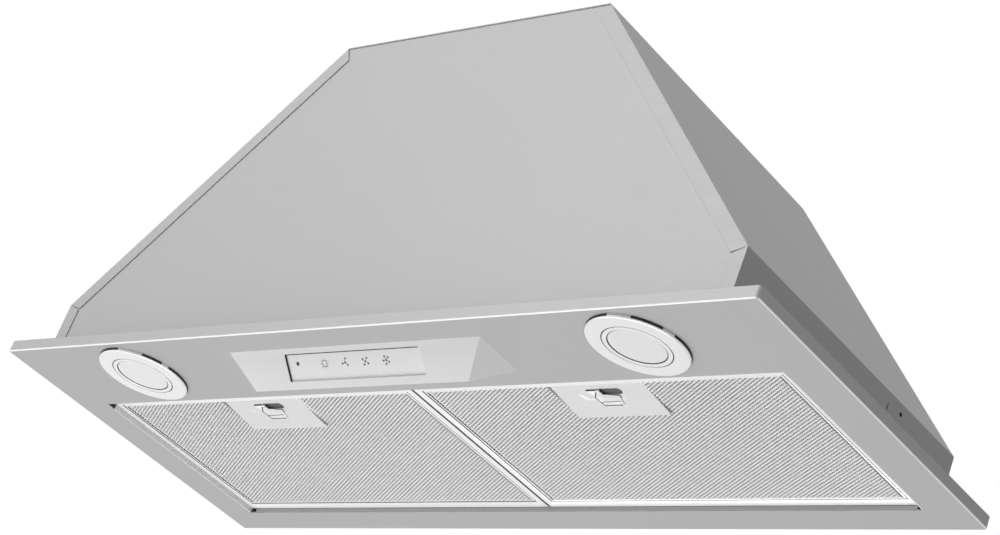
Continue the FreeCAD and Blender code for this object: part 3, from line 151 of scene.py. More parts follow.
floor_mesh = bpy.data.meshes.new("floor")
floor_mesh.from_pydata([(x * FLOOR_REACH, y * FLOOR_REACH, FLOOR_HEIGHT)
                        for x, y in ((-1, -1), (1, -1), (1, 1), (-1, 1))], [], [(0, 1, 2, 3)])
floor = bpy.data.objects.new("floor", floor_mesh)
floor_paint = surface("floor_paint", "", (0.86, 0.86, 0.86), rough=(0.7, 0.8), fine=20)
paint = floor_paint.node_tree
ray = node(paint, "ShaderNodeLightPath")
seen = node(paint, "ShaderNodeMath", operation="MAXIMUM")
share = node(paint, "ShaderNodeMath", {1: 0.85}, operation="MULTIPLY")
pale = node(paint, "ShaderNodeEmission")
mixed = node(paint, "ShaderNodeMixShader")
wire(paint, (ray.outputs["Is Camera Ray"], seen.inputs[0]), (ray.outputs["Is Glossy Ray"], seen.inputs[1]),
     (seen.outputs[0], share.inputs[0]), (share.outputs[0], mixed.inputs[0]),
     (paint.nodes["Principled BSDF"].outputs[0], mixed.inputs[1]), (pale.outputs[0], mixed.inputs[2]),
     (mixed.outputs[0], paint.nodes["Material Output"].inputs["Surface"]))
floor_mesh.materials.append(floor_paint)
scene.collection.objects.link(floor)

# ---------------------------------------------------------------------------
# Face plate. One pressed tray of brushed stainless steel, which carries all
# the rest; its grain runs along its length, and its lower bends have a painted
# highlight.


def dress(material, *names):
    """Give CAD nodes a surface."""
    for name in names:
        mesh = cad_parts[name].data
        mesh.materials.clear()
        mesh.materials.append(material)


def lighten(material, share, colour):
    """Mix a colour over a surface's own by a share from 0 to 1."""
    tree = material.node_tree
    base = tree.nodes["Principled BSDF"].inputs["Base Color"]
    over = node(tree, "ShaderNodeMix", data_type="RGBA")
    over.inputs[7].default_value = (*colour, 1)
    wire(tree, (share, over.inputs[0]), (base.links[0].from_socket, over.inputs[6]), (over.outputs[2], base))


def paint_bend_highlight(material, name, width):
    """Paint a highlight on the outer bends of a node, where two of its side, end and lower strips meet."""
    tree = material.node_tree
    low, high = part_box(name)
    where = node(tree, "ShaderNodeTexCoord")
    centred = node(tree, "ShaderNodeVectorMath", {1: [(a + b) / 2 for a, b in zip(low, high)]},
                   operation="SUBTRACT")
    outward = node(tree, "ShaderNodeVectorMath", operation="ABSOLUTE")
    parts = node(tree, "ShaderNodeSeparateXYZ")
    level = node(tree, "ShaderNodeSeparateXYZ")
    wire(tree, (where.outputs["Object"], centred.inputs[0]), (centred.outputs[0], outward.inputs[0]),
         (outward.outputs[0], parts.inputs[0]), (where.outputs["Object"], level.inputs[0]))
    side = node(tree, "ShaderNodeMath", {1: (high[0] - low[0]) / 2 - width}, operation="GREATER_THAN")
    end = node(tree, "ShaderNodeMath", {1: (high[1] - low[1]) / 2 - width}, operation="GREATER_THAN")
    lower = node(tree, "ShaderNodeMath", {1: low[2] + width}, operation="LESS_THAN")
    outer = node(tree, "ShaderNodeMath")
    total = node(tree, "ShaderNodeMath")
    bend_highlight = node(tree, "ShaderNodeMath", {1: 1.5}, operation="GREATER_THAN")
    wire(tree, (parts.outputs["X"], side.inputs[0]), (parts.outputs["Y"], end.inputs[0]),
         (level.outputs["Z"], lower.inputs[0]), (side.outputs[0], outer.inputs[0]),
         (end.outputs[0], outer.inputs[1]), (outer.outputs[0], total.inputs[0]),
         (lower.outputs[0], total.inputs[1]), (total.outputs[0], bend_highlight.inputs[0]))
    lighten(material, bend_highlight.outputs[0], (0.97, 0.97, 0.97))


plate_steel = surface("plate_brushed_steel", "plate_steel", (0.445, 0.445, 0.45), metallic=0.3,
                      rough=(0.5, 0.6), grain=(0.02, 1, 1), fine=2600, mottle=0.02, bump=0.05, edge=0.0005)
# A highlight is painted on the plate's lower bends.
paint_bend_highlight(plate_steel, "face_plate", 0.0009)
dress(plate_steel, "face_plate")

# ---------------------------------------------------------------------------
# Body. Folded sheet in a duller satin, welded on the tray: two flat ends, two
# side sheets with a crease and strips folded over the ends, and a flat top.
dress(surface("body_satin_steel", "body_steel", (0.48, 0.48, 0.485), metallic=0.12, rough=(0.42, 0.52),
              grain=(0.03, 1, 1), fine=1800, mottle=0.02, bump=0.04, edge=0.0007),
      "front_panel", "back_panel", "left_side_panel", "right_side_panel", "top_plate")

# ---------------------------------------------------------------------------
# Duct collar and damper. A zinc coated spout screwed to the top, with a rolled
# bead near its mouth that keeps the duct on, and two flaps on one steel pin.
zinc = surface("zinc_sheet", "galvanised_steel", (0.52, 0.53, 0.54), metallic=0.7, rough=(0.35, 0.5),
               fine=90, mottle=0.07, bump=0.03, edge=0.0004)
steel = surface("bright_steel", "steel_fasteners", (0.6, 0.6, 0.61), metallic=0.95, rough=(0.25, 0.35),
                fine=900, bump=0.02)
dress(zinc, "duct_collar", "damper_flap_left", "damper_flap_right")
dress(steel, "damper_pin")


def hang(name, mesh, body, replaced=(), smooth=0.6):
    """Link a mesh made in metres and hang it on a body of the hood."""
    mesh.name = name
    mesh.shade_smooth()
    mesh.set_sharp_from_angle(angle=smooth)
    linked = bpy.data.objects.new(name, mesh)
    scene.collection.objects.link(linked)
    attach(linked, body)
    if replaced:
        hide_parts(*replaced)


def piece(name, made, body, material, replaced=(), smooth=0.6):
    """Finish a mesh made in millimetres and hang it on a body of the hood."""
    bmesh.ops.recalc_face_normals(made, faces=made.faces)
    mesh = bpy.data.meshes.new(name)
    made.to_mesh(mesh)
    made.free()
    mesh.transform(Matrix.Scale(0.001, 4))
    mesh.materials.append(material)
    hang(name, mesh, body, replaced, smooth)


def turned(made, centre, profile, steps=96):
    """Add a solid of revolution about Z: a closed profile of radius and height."""
    rings = []
    for radius, height in profile:
        if radius:
            rings.append([made.verts.new((centre[0] + radius * math.cos(2 * math.pi * i / steps),
                                          centre[1] + radius * math.sin(2 * math.pi * i / steps), height))
                          for i in range(steps)])
        else:
            rings.append([made.verts.new((centre[0], centre[1], height))] * steps)
    for low, high in zip(rings, rings[1:] + rings[:1]):
        for i in range(steps):
            corners = []
            for vert in (low[i], low[(i + 1) % steps], high[(i + 1) % steps], high[i]):
                if vert not in corners:
                    corners.append(vert)
            if len(corners) > 2:
                made.faces.new(corners)


COLLAR_CENTRE = (0, 1.25)
bead = bmesh.new()
turned(bead, COLLAR_CENTRE, [(74.3 + 0.9 * math.sin(math.pi * i / 8), 296 + 4 * i / 8) for i in range(9)]
       + [(74.0, 298)])
piece("collar_bead", bead, "hood", zinc)

# ---------------------------------------------------------------------------
# Blower. A zinc scroll on two angles, a moulded black wheel, and a painted
# motor on a three-armed bracket, all behind the filters.
dress(zinc, "scroll_wrap", "scroll_side_left", "scroll_side_right", "blower_angles", "motor_bracket")
dress(steel, "motor_shaft", "impeller_nut", "motor_screws")
dress(surface("motor_black_paint", "motor_paint", (0.03, 0.03, 0.032), rough=(0.35, 0.5), fine=300,
              bump=0.08, edge=0.0006), "motor_can", "motor_end_cap")
dress(surface("laminations", "lamination_steel", (0.12, 0.11, 0.1), metallic=0.8, rough=(0.4, 0.6),
              grain=(8, 1, 1), fine=300, bump=0.2), "motor_rotor", "motor_stator")
dress(surface("wheel_black_plastic", "wheel_plastic", (0.025, 0.025, 0.027), rough=(0.4, 0.55), fine=400,
              bump=0.05), "impeller")

# ---------------------------------------------------------------------------
# Capacitor and wiring. A pale plastic can in a spring clip, a zinc box with a
# lid, and black mouldings for the gland, the terminals and the lamp driver.
dress(surface("capacitor_shell", "capacitor_plastic", (0.6, 0.6, 0.58), rough=(0.35, 0.45), fine=300,
              bump=0.04, edge=0.0006), "capacitor")
dress(zinc, "wiring_box", "wiring_box_cover", "capacitor_clip")
dress(surface("black_moulding", "black_plastic", (0.02, 0.02, 0.021), rough=(0.35, 0.5), fine=500,
              bump=0.08, edge=0.0004), "cable_gland", "terminal_block", "lamp_driver")

# ---------------------------------------------------------------------------
# Lamps. A bright plated ring with a fine groove and a rounded edge, and a
# frosted lens. A cast cup behind holds the board; two clips hold the ring.
# Black arcs on the ring's edge are painted dark reflections, and black rings
# in its groove and round the lens are painted shade.
LAMP_ACROSS, LAMP_ALONG = 250, -104
# The arcs, in degrees, where the ring's rounded edge stays bright; between them the edge is painted dark as a
# reflection.
LIT_ARCS = {"left": ((-79, -46), (-20, -10), (101, 134), (160, 170)),
        "right": ((-89, -62), (-27, -12), (91, 118), (153, 168))}
plating = surface("lamp_plating", "lamp_ring", (0.92, 0.92, 0.92), metallic=0.25, rough=(0.16, 0.24),
                  fine=600, mottle=0.01)
frosted = surface("lamp_frosted_lens", "lamp_glass", (0.86, 0.86, 0.855), rough=(0.35, 0.42), fine=800,
                  mottle=0.01, bump=0.05)
# A black used only to paint shade and dark reflections.
shade_and_reflection_black = surface("shade_and_reflection_black", "black_plastic", (0.02, 0.02, 0.02), rough=(0.6, 0.7), fine=700,
                        bump=0.1)


def band(made, centre, inner, outer, low, high, first, last, slant=0.15):
    """Add part of a flat ring between two angles, in degrees, its outer corner cut back."""
    count = max(3, int((last - first) / 4))
    loops = []
    for i in range(count + 1):
        a = math.radians(first + (last - first) * i / count)
        loops.append([made.verts.new((centre[0] + r * math.cos(a), centre[1] + r * math.sin(a), z))
                      for r, z in ((inner, low), (outer, low + slant), (outer, high), (inner, high))])
    for near, far in zip(loops, loops[1:]):
        for n in range(4):
            made.faces.new((near[n], near[(n + 1) % 4], far[(n + 1) % 4], far[n]))
    made.faces.new(loops[0])
    made.faces.new(loops[-1][::-1])


for side, sign in (("left", -1), ("right", 1)):
    lit_arcs = LIT_ARCS[side]
    spot = (LAMP_ACROSS * sign, LAMP_ALONG)
    # Black bands paint dark reflections on the ring's edge, and black rings paint the shade in its groove and
    # round the lens.
    lamp_dark_marks = bmesh.new()
    for (_, start), (end, _) in zip(lit_arcs, lit_arcs[1:] + ((lit_arcs[0][0] + 360, 0),)):
        band(lamp_dark_marks, spot, 36.2, 36.95, -11.35, -9.5, start, end)
    turned(lamp_dark_marks, spot, [(20.95, -12.1), (21.35, -12.1), (21.35, -11.2), (20.95, -11.2)])
    turned(lamp_dark_marks, spot, [(24.65, -12.2), (25.25, -12.2), (25.25, -12), (24.65, -12)])
    piece("lamp_painted_dark_" + side, lamp_dark_marks, "hood", shade_and_reflection_black)
    ring = bmesh.new()
    for start, end in lit_arcs:
        band(ring, spot, 35.7, 37, -12.4, -9.5, start, end, 1.3)
    turned(ring, spot, [
        (21.4, -12.3), (21.6, -12.5), (24.5, -12.5), (24.7, -11.9), (25.2, -11.9), (25.4, -12.5),
        (35.3, -12.5), (35.9, -12.42), (36.4, -12.15), (36.75, -11.7), (36.85, -11.35), (36.2, -11.35),
        (36.2, -9.5), (26.4, -9.5), (26.4, 1), (25, 1), (25, -10.5), (21.4, -10.5)], 128)
    piece("lamp_ring_" + side, ring, "hood", plating, ["lamp_bezel_" + side])
    glass = bmesh.new()
    turned(glass, spot, [(0, -12.32), (9, -12.3), (15, -12.25), (19.4, -12.15), (20.5, -11.95), (20.9, -11.5),
                         (20.9, -10.5), (23.4, -10.5), (23.4, -8.5), (0, -8.5)])
    piece("lamp_glass_" + side, glass, "hood", frosted, ["lamp_lens_" + side])
dress(surface("lamp_cast_aluminium", "lamp_body", (0.55, 0.55, 0.56), metallic=0.8, rough=(0.4, 0.55),
              fine=300, bump=0.1), "lamp_can_left", "lamp_can_right")
dress(surface("green_laminate", "board_laminate", (0.02, 0.09, 0.035), rough=(0.25, 0.35), fine=500,
              mottle=0.1), "control_board", "lamp_boards")
dress(zinc, "lamp_clips")

# ---------------------------------------------------------------------------
# Control housing. A light grey plastic moulding like a hip roof, screwed on
# from inside, with rounded edges. Black strips along the left end and the upper
# edge of its recess, round the strip that carries the keys, paint the shade.


def softened(name, width, steps=2, sharp=0.4, blunt=7.0):
    """A merged copy of a CAD node in millimetres, with its edges between two angles rounded."""
    made = bmesh.new()
    made.from_mesh(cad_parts[name].data)
    bmesh.ops.scale(made, vec=(1000, 1000, 1000), verts=made.verts)
    bmesh.ops.remove_doubles(made, verts=made.verts, dist=0.001)
    bmesh.ops.dissolve_limit(made, angle_limit=0.01, verts=made.verts, edges=made.edges)
    edges = [edge for edge in made.edges if edge.is_manifold and sharp < edge.calc_face_angle(0) < blunt]
    bmesh.ops.bevel(made, geom=edges, offset=width, segments=steps, profile=0.5, affect="EDGES",
                    clamp_overlap=True)
    return made


FACE_RUN, FACE_RISE = 0.7386, 0.6744


def in_recess(across, along, inward):
    """A place on the housing's slanted front face, in millimetres."""
    return Vector((across - 3, FACE_RUN * along + FACE_RISE * inward - 124,
                   FACE_RUN * inward - FACE_RISE * along - 9.5))


def block(made, place, low, high, width=0.0):
    """Add a box between two corners, set in place by a function, with rounded edges."""
    corners = [made.verts.new(place(*[(low, high)[(i >> n) & 1][n] for n in range(3)])) for i in range(8)]
    faces = [made.faces.new([corners[i] for i in side])
             for side in ((0, 1, 3, 2), (4, 6, 7, 5), (0, 4, 5, 1), (2, 3, 7, 6), (0, 2, 6, 4), (1, 5, 7, 3))]
    if width:
        bmesh.ops.bevel(made, geom=list({edge for face in faces for edge in face.edges}), offset=width,
                        segments=2, profile=0.5, affect="EDGES")


moulding = surface("housing_plastic", "white_plastic", (0.82, 0.82, 0.825), rough=(0.38, 0.46), fine=900,
                   mottle=0.01, bump=0.06)
piece("housing_shell", softened("control_housing", 0.9, 3, blunt=1.5), "hood", moulding, ["control_housing"])
lip = bmesh.new()
block(lip, in_recess, (-69.2, 25.0, -0.04), (69.2, 25.6, 1.6), 0.25)
piece("recess_lip", lip, "hood", moulding)
# Painted shade: black strips along the recess's left end and upper edge.
recess_shading = bmesh.new()
block(recess_shading, in_recess, (-69, 4.3, 0.15), (-68.5, 25.4, 1.95))
block(recess_shading, in_recess, (-69, 4.2, 0.5), (66, 5.0, 1.95))
piece("recess_shade_strip", recess_shading, "hood", shade_and_reflection_black)
strip_plastic = surface("strip_plastic", "strip_plastic", (0.89, 0.89, 0.895), rough=(0.34, 0.42), fine=900,
                        mottle=0.01, bump=0.04)
dress(strip_plastic, "control_strip")
dress(surface("indicator_tint", "indicator_clear", (0.006, 0.006, 0.008), rough=(0.5, 0.6), fine=900),
      "indicator_lens")

# ---------------------------------------------------------------------------
# Keys. Four flush caps in the strip's plastic, each with a printed dark sign:
# a lamp with rays, and fans with three, four and five blades.
PRINT_TOP, PRINT_FOOT = 1.44, 1.52


def dot(made, across, along, radius, reach=1.0, turn=0.0, sides=10):
    """Add a thin printed spot, drawn out along its own direction."""
    low, high = [], []
    for i in range(sides):
        a = 2 * math.pi * i / sides
        x, y = radius * reach * math.cos(a), radius * math.sin(a)
        spot = (across + x * math.cos(turn) - y * math.sin(turn),
                along + x * math.sin(turn) + y * math.cos(turn))
        low.append(made.verts.new(in_recess(*spot, PRINT_TOP)))
        high.append(made.verts.new(in_recess(*spot, PRINT_FOOT)))
    made.faces.new(low)
    made.faces.new(high[::-1])
    for i in range(sides):
        made.faces.new((low[i], high[i], high[(i + 1) % sides], low[(i + 1) % sides]))


ink = surface("sign_ink", "black_plastic", (0.03, 0.03, 0.032), rough=(0.4, 0.5), fine=900)
grey_ink = surface("lamp_sign_ink", "black_plastic", (0.09, 0.09, 0.092), rough=(0.4, 0.5), fine=900)
for key, body, across, blades in (
        ("light", "light_key", -29, 0), ("speed_low", "low_key", -7.8, 3),
        ("speed_medium", "medium_key", 12.8, 4), ("speed_high", "high_key", 33.7, 5)):
    cap = bmesh.new()
    block(cap, in_recess, (across - 8.27, 4.88, 1.5), (across + 8.27, 19.12, 4.6))
    block(cap, in_recess, (across - 9, 5.2, 3.3), (across + 9, 18.8, 4.55))
    piece("cap_" + key, cap, body, strip_plastic, ["key_" + key])
    sign = bmesh.new()
    middle = (across - 1.6, 13)
    for i in range(blades):
        a = 2 * math.pi * (i + 0.3) / blades
        dot(sign, middle[0] + 1.6 * math.cos(a), middle[1] + 1.6 * math.sin(a), 0.3, 1.6, a)
        dot(sign, middle[0] + 3.0 * math.cos(a + 0.15), middle[1] + 3.0 * math.sin(a + 0.15), 0.72, 1.25,
            a + 1.2)
    if blades:
        dot(sign, *middle, 0.85)
    for i in range(0 if blades else 8):
        a = 2 * math.pi * i / 8
        dot(sign, middle[0] + 2.3 * math.cos(a), middle[1] + 2.3 * math.sin(a), 0.34, 2.9, a + math.pi / 2)
        dot(sign, middle[0] + 3.5 * math.cos(a), middle[1] + 3.5 * math.sin(a), 0.3, 1.8, a)
    piece("sign_" + key, sign, body, ink if blades else grey_ink)

# ---------------------------------------------------------------------------
# Filter frames. Rolled aluminium channel with a bead along its inner edge,
# softly rounded where it is folded, with painted shade along its folds. A black
# strip paints the shade in the gap between the two; the opening's walls are a
# lighter copy of the plate's steel, painted light, with painted shade at the
# front corners.
rolled = surface("filter_rolled_aluminium", "filter_aluminium", (0.94, 0.94, 0.945), metallic=0.2,
                 rough=(0.3, 0.42), fine=1200, mottle=0.02, bump=0.04)
hem_shade = surface("hem_shade", "filter_aluminium", (0.025, 0.025, 0.026), metallic=0.2, rough=(0.5, 0.6),
                    fine=900)


def upright(x, y, z):
    """A place in the hood's own millimetres."""
    return Vector((x, y, z))


for side, near, far, rear in (("left", -338.9, -0.6, 108.6), ("right", 0.6, 338.9, 109.4)):
    piece("frame_" + side, softened("filter_frame_" + side, 0.3), "filter_" + side, rolled,
          ["filter_frame_" + side])
    # Dark strips paint the shade along the frame's folds and along the mesh's rear edge.
    hem_shading = bmesh.new()
    for low, high in (((near + 6.6, -53), (near + 8.1, 110)), ((near + 9.5, -50.6), (near + 10.9, 107.6)),
                      ((far - 7.9, -53), (far - 7.3, 110)), ((far - 10.5, -50.6), (far - 10.0, 107.6)),
                      ((near + 7.3, rear), (far - 7.3, 110.1))):
        block(hem_shading, upright, (*low, -5.53), (*high, -5.3))
    block(hem_shading, upright, (near + 10.0, -52.2, -4.98), (far - 10.0, -49.6, -4.93))
    piece("hem_shade_line_" + side, hem_shading, "filter_" + side, hem_shade)
# A black strip in the gap between the filters paints the shade there.
gap_shading = bmesh.new()
block(gap_shading, upright, (-1.7, -60.4, -5.62), (0.55, 117.4, 3.2), 0.1)
piece("gap_shade_strip", gap_shading, "filter_left", shade_and_reflection_black)

# The opening's walls get a lighter copy of the plate's steel: painted light.
lip_steel_painted_light = surface("lip_steel_painted_light", "plate_steel", (0.78, 0.78, 0.785), metallic=0.15,
                       rough=(0.45, 0.55), grain=(1, 0.02, 1), fine=2600, bump=0.05)
for side, sign in (("left", -1), ("right", 1)):
    lightened_lip, corner = bmesh.new(), bmesh.new()
    block(lightened_lip, upright, (sign * 339.35, -54, -9.3), (sign * 339.05, 117.5, -3.2))
    block(lightened_lip, upright, (sign * 340.1, -54, -9.56), (sign * 339.05, 117.5, -9.3))
    # A black pad by each front corner paints the shade in the corner relief.
    block(corner, upright, (sign * 339.35, -61.3, -9.3), (sign * 339.05, -54, -3.2))
    piece("opening_lip_painted_light_" + side, lightened_lip, "hood", lip_steel_painted_light)
    piece("corner_shade_" + side, corner, "hood", shade_and_reflection_black)

# ---------------------------------------------------------------------------
# Filter mesh. Two layers of expanded aluminium with long diamonds, over the
# packed layers behind, painted darker for the shade among them. Each strand
# is a thin strip tilted by the stretching, and the front layer's colour is
# darkened in stripes as painted shade.
# Half the diamonds' length and height, the middle of a filter, and the place
# of its first knot from the hood's middle, in metres.
HALF_LONG, HALF_SHORT = 0.002415, 0.001515
FILTER_MIDDLE = 0.16975
KNOT_OFFSET = 0.0007
mesh_aluminium = surface("mesh_aluminium", "mesh_aluminium", (0.97, 0.97, 0.975), metallic=0.2,
                         rough=(0.3, 0.5), fine=900)
# Painted shade: the front layer's colour is darkened in stripes along X, once in every half diamond.
strand_shading_tree = mesh_aluminium.node_tree
where = node(strand_shading_tree, "ShaderNodeTexCoord")
parts = node(strand_shading_tree, "ShaderNodeSeparateXYZ")
wire(strand_shading_tree, (where.outputs["Object"], parts.inputs[0]))
shading = parts.outputs["X"]
for rule, value in (("ABSOLUTE", 0), ("SUBTRACT", KNOT_OFFSET), ("MULTIPLY", 2 * math.pi / HALF_LONG),
                    ("COSINE", 0), ("MULTIPLY", -0.5), ("ADD", 0.06)):
    step = node(strand_shading_tree, "ShaderNodeMath", {1: value}, operation=rule, use_clamp=rule == "ADD")
    wire(strand_shading_tree, (shading, step.inputs[0]))
    shading = step.outputs[0]
lighten(mesh_aluminium, shading, (0.5, 0.5, 0.504))
inner_aluminium = surface("inner_mesh_aluminium", "mesh_aluminium", (0.93, 0.93, 0.935), metallic=0.2,
                          rough=(0.4, 0.6), fine=900)
# The packed layers are painted much darker than the same aluminium, for the shade among them.
dress(surface("packed_mesh_painted_shade", "mesh_aluminium", (0.36, 0.36, 0.363), metallic=0.3, rough=(0.5, 0.7), fine=420,
              bump=0.6, depth=0.001, mottle=0.3), "filter_mesh_left", "filter_mesh_right")


def tree_for(name, *sizes):
    """A geometry tree with named inputs for its sizes, ready for its nodes."""
    tree = bpy.data.node_groups.new(name, "GeometryNodeTree")
    tree.interface.new_socket("Geometry", in_out="INPUT", socket_type="NodeSocketGeometry")
    sockets = {}
    for label, kind, value in sizes:
        socket = tree.interface.new_socket(label, in_out="INPUT", socket_type=kind)
        if value is not None:
            socket.default_value = value
        sockets[label] = socket.identifier
    tree.interface.new_socket("Geometry", in_out="OUTPUT", socket_type="NodeSocketGeometry")
    return tree, tree.nodes.new("NodeGroupInput"), tree.nodes.new("NodeGroupOutput"), sockets


def grown(name, base, tree, values):
    """Run a geometry tree over a base mesh and return the plain mesh it makes."""
    holder = bpy.data.objects.new(name + "_base", base)
    scene.collection.objects.link(holder)
    grower = holder.modifiers.new("grow", "NODES")
    grower.node_group = tree
    for key, value in values.items():
        grower[key] = value
    bpy.context.view_layer.update()
    mesh = bpy.data.meshes.new_from_object(holder.evaluated_get(bpy.context.evaluated_depsgraph_get()))
    holder.modifiers.clear()
    bpy.data.objects.remove(holder)
    return mesh


def planted(tree, given, done, shape):
    """Close a tree: its shape on every base point, turned about X, made real and painted."""
    turn = node(tree, "ShaderNodeCombineXYZ")
    spread = node(tree, "GeometryNodeInstanceOnPoints")
    whole = node(tree, "GeometryNodeRealizeInstances")
    coat = node(tree, "GeometryNodeSetMaterial")
    wire(tree, (given.outputs["Turn"], turn.inputs[0]), (turn.outputs[0], spread.inputs["Rotation"]),
         (given.outputs["Geometry"], spread.inputs["Points"]), (shape, spread.inputs["Instance"]),
         (spread.outputs[0], whole.inputs[0]), (whole.outputs[0], coat.inputs[0]),
         (given.outputs["Material"], coat.inputs["Material"]), (coat.outputs[0], done.inputs[0]))


expanded, given, done, cells = tree_for(
    "expanded_mesh", ("Strand Width", "NodeSocketFloat", 0.0009), ("Strand Thick", "NodeSocketFloat", 0.0003),
    ("Tilt Left", "NodeSocketFloat", 0.55), ("Tilt Right", "NodeSocketFloat", 0.55),
    ("Half Long", "NodeSocketFloat", HALF_LONG), ("Half Short", "NodeSocketFloat", HALF_SHORT),
    ("Turn", "NodeSocketFloat", 0.0), ("Material", "NodeSocketMaterial", None))


def strand(hand, tilt):
    """One tilted strand of the cell, from its knot to the next one on the left or right."""
    line = node(expanded, "GeometryNodeCurvePrimitiveLine")
    end = node(expanded, "ShaderNodeCombineXYZ")
    across = node(expanded, "ShaderNodeMath", {1: hand}, operation="MULTIPLY")
    profile = node(expanded, "GeometryNodeCurvePrimitiveQuadrilateral")
    lean = node(expanded, "GeometryNodeSetCurveTilt")
    swept = node(expanded, "GeometryNodeCurveToMesh", {"Fill Caps": True})
    wire(expanded, (given.outputs["Half Long"], across.inputs[0]), (across.outputs[0], end.inputs[0]),
         (given.outputs["Half Short"], end.inputs[1]), (end.outputs[0], line.inputs["End"]),
         (given.outputs["Strand Width"], profile.inputs["Width"]),
         (given.outputs["Strand Thick"], profile.inputs["Height"]), (line.outputs[0], lean.inputs["Curve"]),
         (given.outputs[tilt], lean.inputs["Tilt"]), (lean.outputs[0], swept.inputs["Curve"]),
         (profile.outputs[0], swept.inputs["Profile Curve"]))
    return swept


cell = node(expanded, "GeometryNodeJoinGeometry")
for hand, tilt in ((-1, "Tilt Left"), (1, "Tilt Right")):
    wire(expanded, (strand(hand, tilt).outputs[0], cell.inputs[0]))
planted(expanded, given, done, cell.outputs[0])

for side, sign in (("left", -1), ("right", 1)):
    for layer, height, shift, width, left_tilt, right_tilt, finish in (
            ("front", -0.0052, 0.0, 0.00128, 0.55, 0.5, mesh_aluminium),
            ("rear", -0.0048, 0.0011, 0.0007, -0.5, -0.5, inner_aluminium)):
        places = []
        for row in range(106):
            for column in range(-33, 34):
                x = sign * FILTER_MIDDLE + 2 * HALF_LONG * column + (HALF_LONG if row % 2 else 0) + shift
                y = -0.0518 + HALF_SHORT * row + 0.6 * shift
                from_latch = abs(x - sign * 0.17)
                behind_latch = from_latch < 0.0423 and y < -0.026 or from_latch < 0.038 and y < -0.012
                if abs(x - sign * FILTER_MIDDLE) < 0.1592 and y < 0.1078 and not behind_latch:
                    places.append((x, y, height))
        knots = bpy.data.meshes.new("knots")
        knots.from_pydata(places, [], [])
        values = {cells["Strand Width"]: width, cells["Tilt Left"]: left_tilt,
                  cells["Tilt Right"]: right_tilt, cells["Material"]: finish}
        hang(f"expanded_{layer}_{side}", grown("knots", knots, expanded, values), "filter_" + side)

# ---------------------------------------------------------------------------
# Latch plates. Bright pressed aluminium, hooked over the frame's front rail
# and tilted, with a dished finger rest and an oblong window in it. The tongue
# of the lock shows through the window, against a black block behind it that
# paints the shade; a bright rib along the rest's lower lip paints its highlight.
LATCH_ACROSS, LATCH_ALONG, LATCH_HEIGHT = 170, -50.2, -4.6
LATCH_TILT = 4.506


def on_latch(sign):
    """Places on one latch, from the middle of its front edge, in millimetres."""
    edge = Vector((LATCH_ACROSS * sign, LATCH_ALONG, LATCH_HEIGHT))
    turn = Matrix.Rotation(-math.radians(LATCH_TILT), 3, "X")
    return lambda across, along, inward: edge + turn @ Vector((across, along, inward))


def oblong(middle, half, radius, count=96):
    """Points round a slot with round ends."""
    points = []
    for i in range(count):
        a = 2 * math.pi * (i + 0.5) / count
        side = math.copysign(half - radius, math.cos(a))
        points.append((middle[0] + side + radius * math.cos(a), middle[1] + radius * math.sin(a)))
    return points


def squared(points, low, high):
    """The same number of points pushed out onto a rectangle."""
    middle = ((low[0] + high[0]) / 2, (low[1] + high[1]) / 2)
    half = ((high[0] - low[0]) / 2, (high[1] - low[1]) / 2)
    out = []
    for x, y in points:
        a, b = (x - middle[0]) / half[0], (y - middle[1]) / half[1]
        k = 1 / max(abs(a), abs(b))
        out.append([middle[0] + a * k * half[0], middle[1] + b * k * half[1]])
    for corner in ((low[0], low[1]), (high[0], low[1]), (high[0], high[1]), (low[0], high[1])):
        near = min(out, key=lambda p: (p[0] - corner[0]) ** 2 + (p[1] - corner[1]) ** 2)
        near[0], near[1] = corner
    return out


def nested(made, place, rings):
    """Join closed outlines at their heights into one skin, first to last and round again."""
    laid = [[made.verts.new(place(x, y, height)) for x, y in ring] for ring, height in rings]
    for outer, inner in zip(laid, laid[1:] + laid[:1]):
        for i in range(len(outer)):
            j = (i + 1) % len(outer)
            made.faces.new((outer[i], outer[j], inner[j], inner[i]))


latch_bright = surface("latch_aluminium", "latch_aluminium", (0.76, 0.76, 0.765), metallic=0.3,
                       rough=(0.28, 0.4), fine=900, bump=0.04)
window = oblong((1.5, 9.5), 16, 3.5)
rest = oblong((0, 11.5), 22.6, 7.4)
for side, sign in (("left", -1), ("right", 1)):
    place = on_latch(sign)
    plate = bmesh.new()
    nested(plate, place, [
        (squared(rest, (-41.5, 0), (41.5, 38.7)), 0.8), (squared(rest, (-41.5, 0), (41.5, 38.7)), 0.15),
        (squared(rest, (-41.3, 0.2), (41.3, 38.5)), 0), (rest, 0), (oblong((0, 11.5), 22.0, 6.8), 0.08),
        (oblong((0, 11.5), 20.4, 5.4), 0.45), (window, 0.45), (window, 1.05), (rest, 1.05), (rest, 0.8)])
    for hand in (-30, 30):
        block(plate, place, (hand - 4, 0, 0), (hand + 4, 0.8, 2.4), 0.15)
        block(plate, place, (hand - 4, -7, 1.6), (hand + 4, 0.8, 2.4), 0.15)
    block(plate, place, (-2.5, 20, 0.4), (5.5, 21, 6.2), 0.15)
    for name, material, low, high, width in (
            # A black block behind the window paints the shade there.
            ("lock_shade_", shade_and_reflection_black, (-15, 3, 2.6), (-3, 15.5, 2.8), 0.05),
            ("lock_tongue_", inner_aluminium, (-14.6, 8.4, 0.5), (-5.1, 13.2, 0.75), 0.08),
            # A bright rib along the rest's lower lip paints its highlight.
            ("pull_highlight_", mesh_aluminium, (-6.2, 25.1, -0.03), (11.5, 26.2, 0.1), 0.02)):
        strip = bmesh.new()
        block(strip, place, low, high, width)
        piece(name + side, strip, "filter_" + side, material)
    piece("plate_" + side, plate, "filter_" + side, latch_bright, ["latch_plate_" + side], 0.12)

